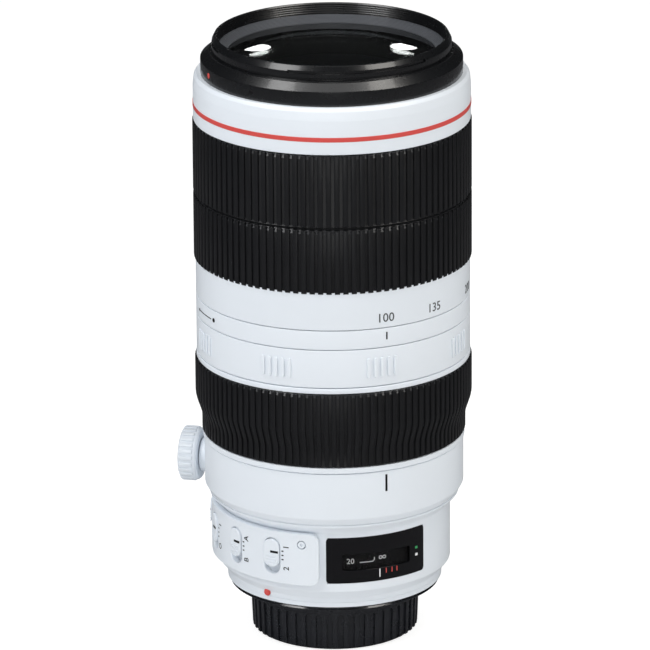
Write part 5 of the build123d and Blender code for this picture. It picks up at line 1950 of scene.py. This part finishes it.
@dataclass
class Studio:
    """The floor, the lights and the camera that took the photograph."""

    azimuth: float = -22.5
    elevation: float = 18.19
    distance: float = 2483.7
    look_height: float = 107.63
    aside: float = -2.82
    roll: float = 0.38
    focal_px: float = 7307.5
    image_px: float = 650.0
    glint_swing: float = 4.56
    glint_rise: float = 20.4
    warm: tuple[float, float, float] = (1.0, 0.97, 0.92)
    room_colour: tuple[float, float, float, float] = (0.95, 0.98, 1.0, 1.0)
    room_light: float = 0.245
    room_light_in_gloss: float = -0.23
    floor_half: float = 6.0
    floor_glow: float = 1.6
    floor_glow_share: float = 0.5

    def build(self) -> None:
        """Make the whole studio."""
        scene = bpy.context.scene
        scene.view_settings.view_transform = "Standard"
        self._camera(scene)
        self._world(scene)
        self._floor()
        front = self.azimuth
        self._lamp("key_left", front - 50, 37, 900, (380, 380), 3.05)
        self._lamp("key_right", front + 52, 37, 900, (380, 380), 2.65, self.warm)
        self._lamp("top_left", front - 78, 64, 900, (280, 280), 1.7)
        self._lamp("top_right", front + 78, 64, 900, (280, 280), 1.6, self.warm)
        self._lamp("overhead", front, 88, 1000, (600, 600), 1.4)
        self._lamp("fill", front, 12, 1400, (500, 500), 1.9)
        for side, name in ((-1, "left"), (1, "right")):
            self._lamp(f"glint_{name}", front + 180 - side * self.glint_swing, self.glint_rise, 938,
                       (26, 48), 0.0175, shape="ELLIPSE")

    def _camera(self, scene: bpy.types.Scene) -> None:
        """The camera at the photograph's angle.

        Args:
            scene: The scene that it films.
        """
        camera = bpy.data.cameras.new("photo_camera")
        camera.sensor_width = 36.0
        camera.lens = self.focal_px * camera.sensor_width / self.image_px
        camera.clip_start = 0.05
        camera.clip_end = 50.0
        holder = placed("photo_camera", camera)
        back = sight(self.azimuth, self.elevation)
        facing = (-back).to_track_quat("-Z", "Y")
        sideways = facing @ Vector((1, 0, 0))
        target = Vector((0, 0, self.look_height * MM)) + sideways * (self.aside * MM)
        holder.location = target + back * (self.distance * MM)
        spin = Matrix.Rotation(math.radians(-self.roll), 3, "Z").to_quaternion()
        holder.rotation_mode = "QUATERNION"
        holder.rotation_quaternion = facing @ spin
        scene.camera = holder

    def _world(self, scene: bpy.types.Scene) -> None:
        """A soft grey room that looks white to the camera.

        Args:
            scene: The scene that it lights.
        """
        world = bpy.data.worlds.new("studio")
        scene.world = world
        world.use_nodes = True
        nodes, links = world.node_tree.nodes, world.node_tree.links
        nodes.clear()
        paths = nodes.new("ShaderNodeLightPath")
        dim = nodes.new("ShaderNodeBackground")
        dim.inputs[0].default_value = self.room_colour
        gloss = nodes.new("ShaderNodeMath")
        gloss.operation = "MULTIPLY_ADD"
        gloss.inputs[1].default_value = self.room_light_in_gloss
        gloss.inputs[2].default_value = self.room_light
        links.new(paths.outputs["Is Glossy Ray"], gloss.inputs[0])
        links.new(gloss.outputs[0], dim.inputs[1])
        white = nodes.new("ShaderNodeBackground")
        white.inputs[0].default_value = (1, 1, 1, 1)
        white.inputs[1].default_value = 1.0
        mixer = nodes.new("ShaderNodeMixShader")
        target = nodes.new("ShaderNodeOutputWorld")
        links.new(paths.outputs["Is Camera Ray"], mixer.inputs[0])
        links.new(dim.outputs[0], mixer.inputs[1])
        links.new(white.outputs[0], mixer.inputs[2])
        links.new(mixer.outputs[0], target.inputs[0])

    def _floor(self) -> None:
        """A pale floor that keeps the lens's shadow."""
        shader = Shader("studio_floor")
        paths = shader.node("ShaderNodeLightPath")
        colour = shader.mix(shader.noise(3.0, 2), (0.9, 0.9, 0.9), (0.92, 0.92, 0.92))
        shade = shader.mix(Sock(shader, paths.outputs["Is Glossy Ray"]), (1, 1, 1), (0.2, 0.2, 0.21))
        seen = shader.node("ShaderNodeMix", {"data_type": "RGBA", "blend_type": "MULTIPLY"},
                           {0: 1.0, 6: colour, 7: shade})
        diffuse = shader.node("ShaderNodeBsdfDiffuse", {}, {"Color": Sock(shader, seen.outputs[2])})
        glow = shader.node("ShaderNodeEmission", {},
                           {"Color": (1, 1, 1, 1), "Strength": self.floor_glow})
        share = Sock(shader, paths.outputs["Is Camera Ray"]) * self.floor_glow_share
        mixed = {0: share, 1: Sock(shader, diffuse.outputs[0]), 2: Sock(shader, glow.outputs[0])}
        mixer = shader.node("ShaderNodeMixShader", {}, mixed)
        shader.tree.links.new(mixer.outputs[0], shader.output.inputs[0])
        size = self.floor_half
        corners = [(-size, -size, 0), (size, -size, 0), (size, size, 0), (-size, size, 0)]
        mesh = bpy.data.meshes.new("floor")
        mesh.from_pydata(corners, [], [(0, 1, 2, 3)])
        mesh.materials.append(shader.material)
        placed("studio_floor", mesh)

    @staticmethod
    def _lamp(name: str, azimuth: float, elevation: float, distance: float,
              size: tuple[float, float], power: float,
              tint: tuple[float, float, float] = (1.0, 1.0, 1.0), shape: str = "RECTANGLE") -> None:
        """One soft lamp that looks at the lens.

        Args:
            name: The lamp's name.
            azimuth: Its direction, as the camera's.
            elevation: Its height, in degrees.
            distance: How far it is, in millimetres.
            size: Its width and height, in millimetres.
            power: Its power in watts.
            tint: Its colour.
            shape: Its outline.
        """
        lamp = bpy.data.lights.new(name, "AREA")
        lamp.shape = shape
        lamp.color = tint
        lamp.size, lamp.size_y = (side * MM for side in size)
        lamp.energy = power
        holder = placed(name, lamp)
        back = sight(azimuth, elevation)
        holder.location = back * (distance * MM) + LIT_POINT
        holder.rotation_mode = "QUATERNION"
        holder.rotation_quaternion = (-back).to_track_quat("-Z", "Y")


def dress_frame(bench: Bench) -> None:
    """Give every CAD node the finish of its material slot.

    Args:
        bench: The bench, which knows the slots.
    """
    for name, piece in frame["nodes"].items():
        finish = SLOT_FINISH[bench.slots[name]]
        piece.data.materials.clear()
        piece.data.materials.append(finish.material())


def main() -> None:
    """Build the dressed lens."""
    logging.basicConfig(level=logging.INFO, format="%(message)s")
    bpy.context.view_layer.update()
    bench = Bench()
    dress_frame(bench)
    makers: list[Callable[[], None]] = [
        FrontBarrel(bench).build,
        ZoomRing(bench).build,
        MiddleBarrel(bench).build,
        FocusRing(bench).build,
        TripodCollar(bench).build,
        RearHousing(bench).build,
        SwitchPanel(bench).build,
        RearCap(bench).build,
        Studio().build,
    ]
    for maker in makers:
        maker()


if __name__ == "__main__":
    main()
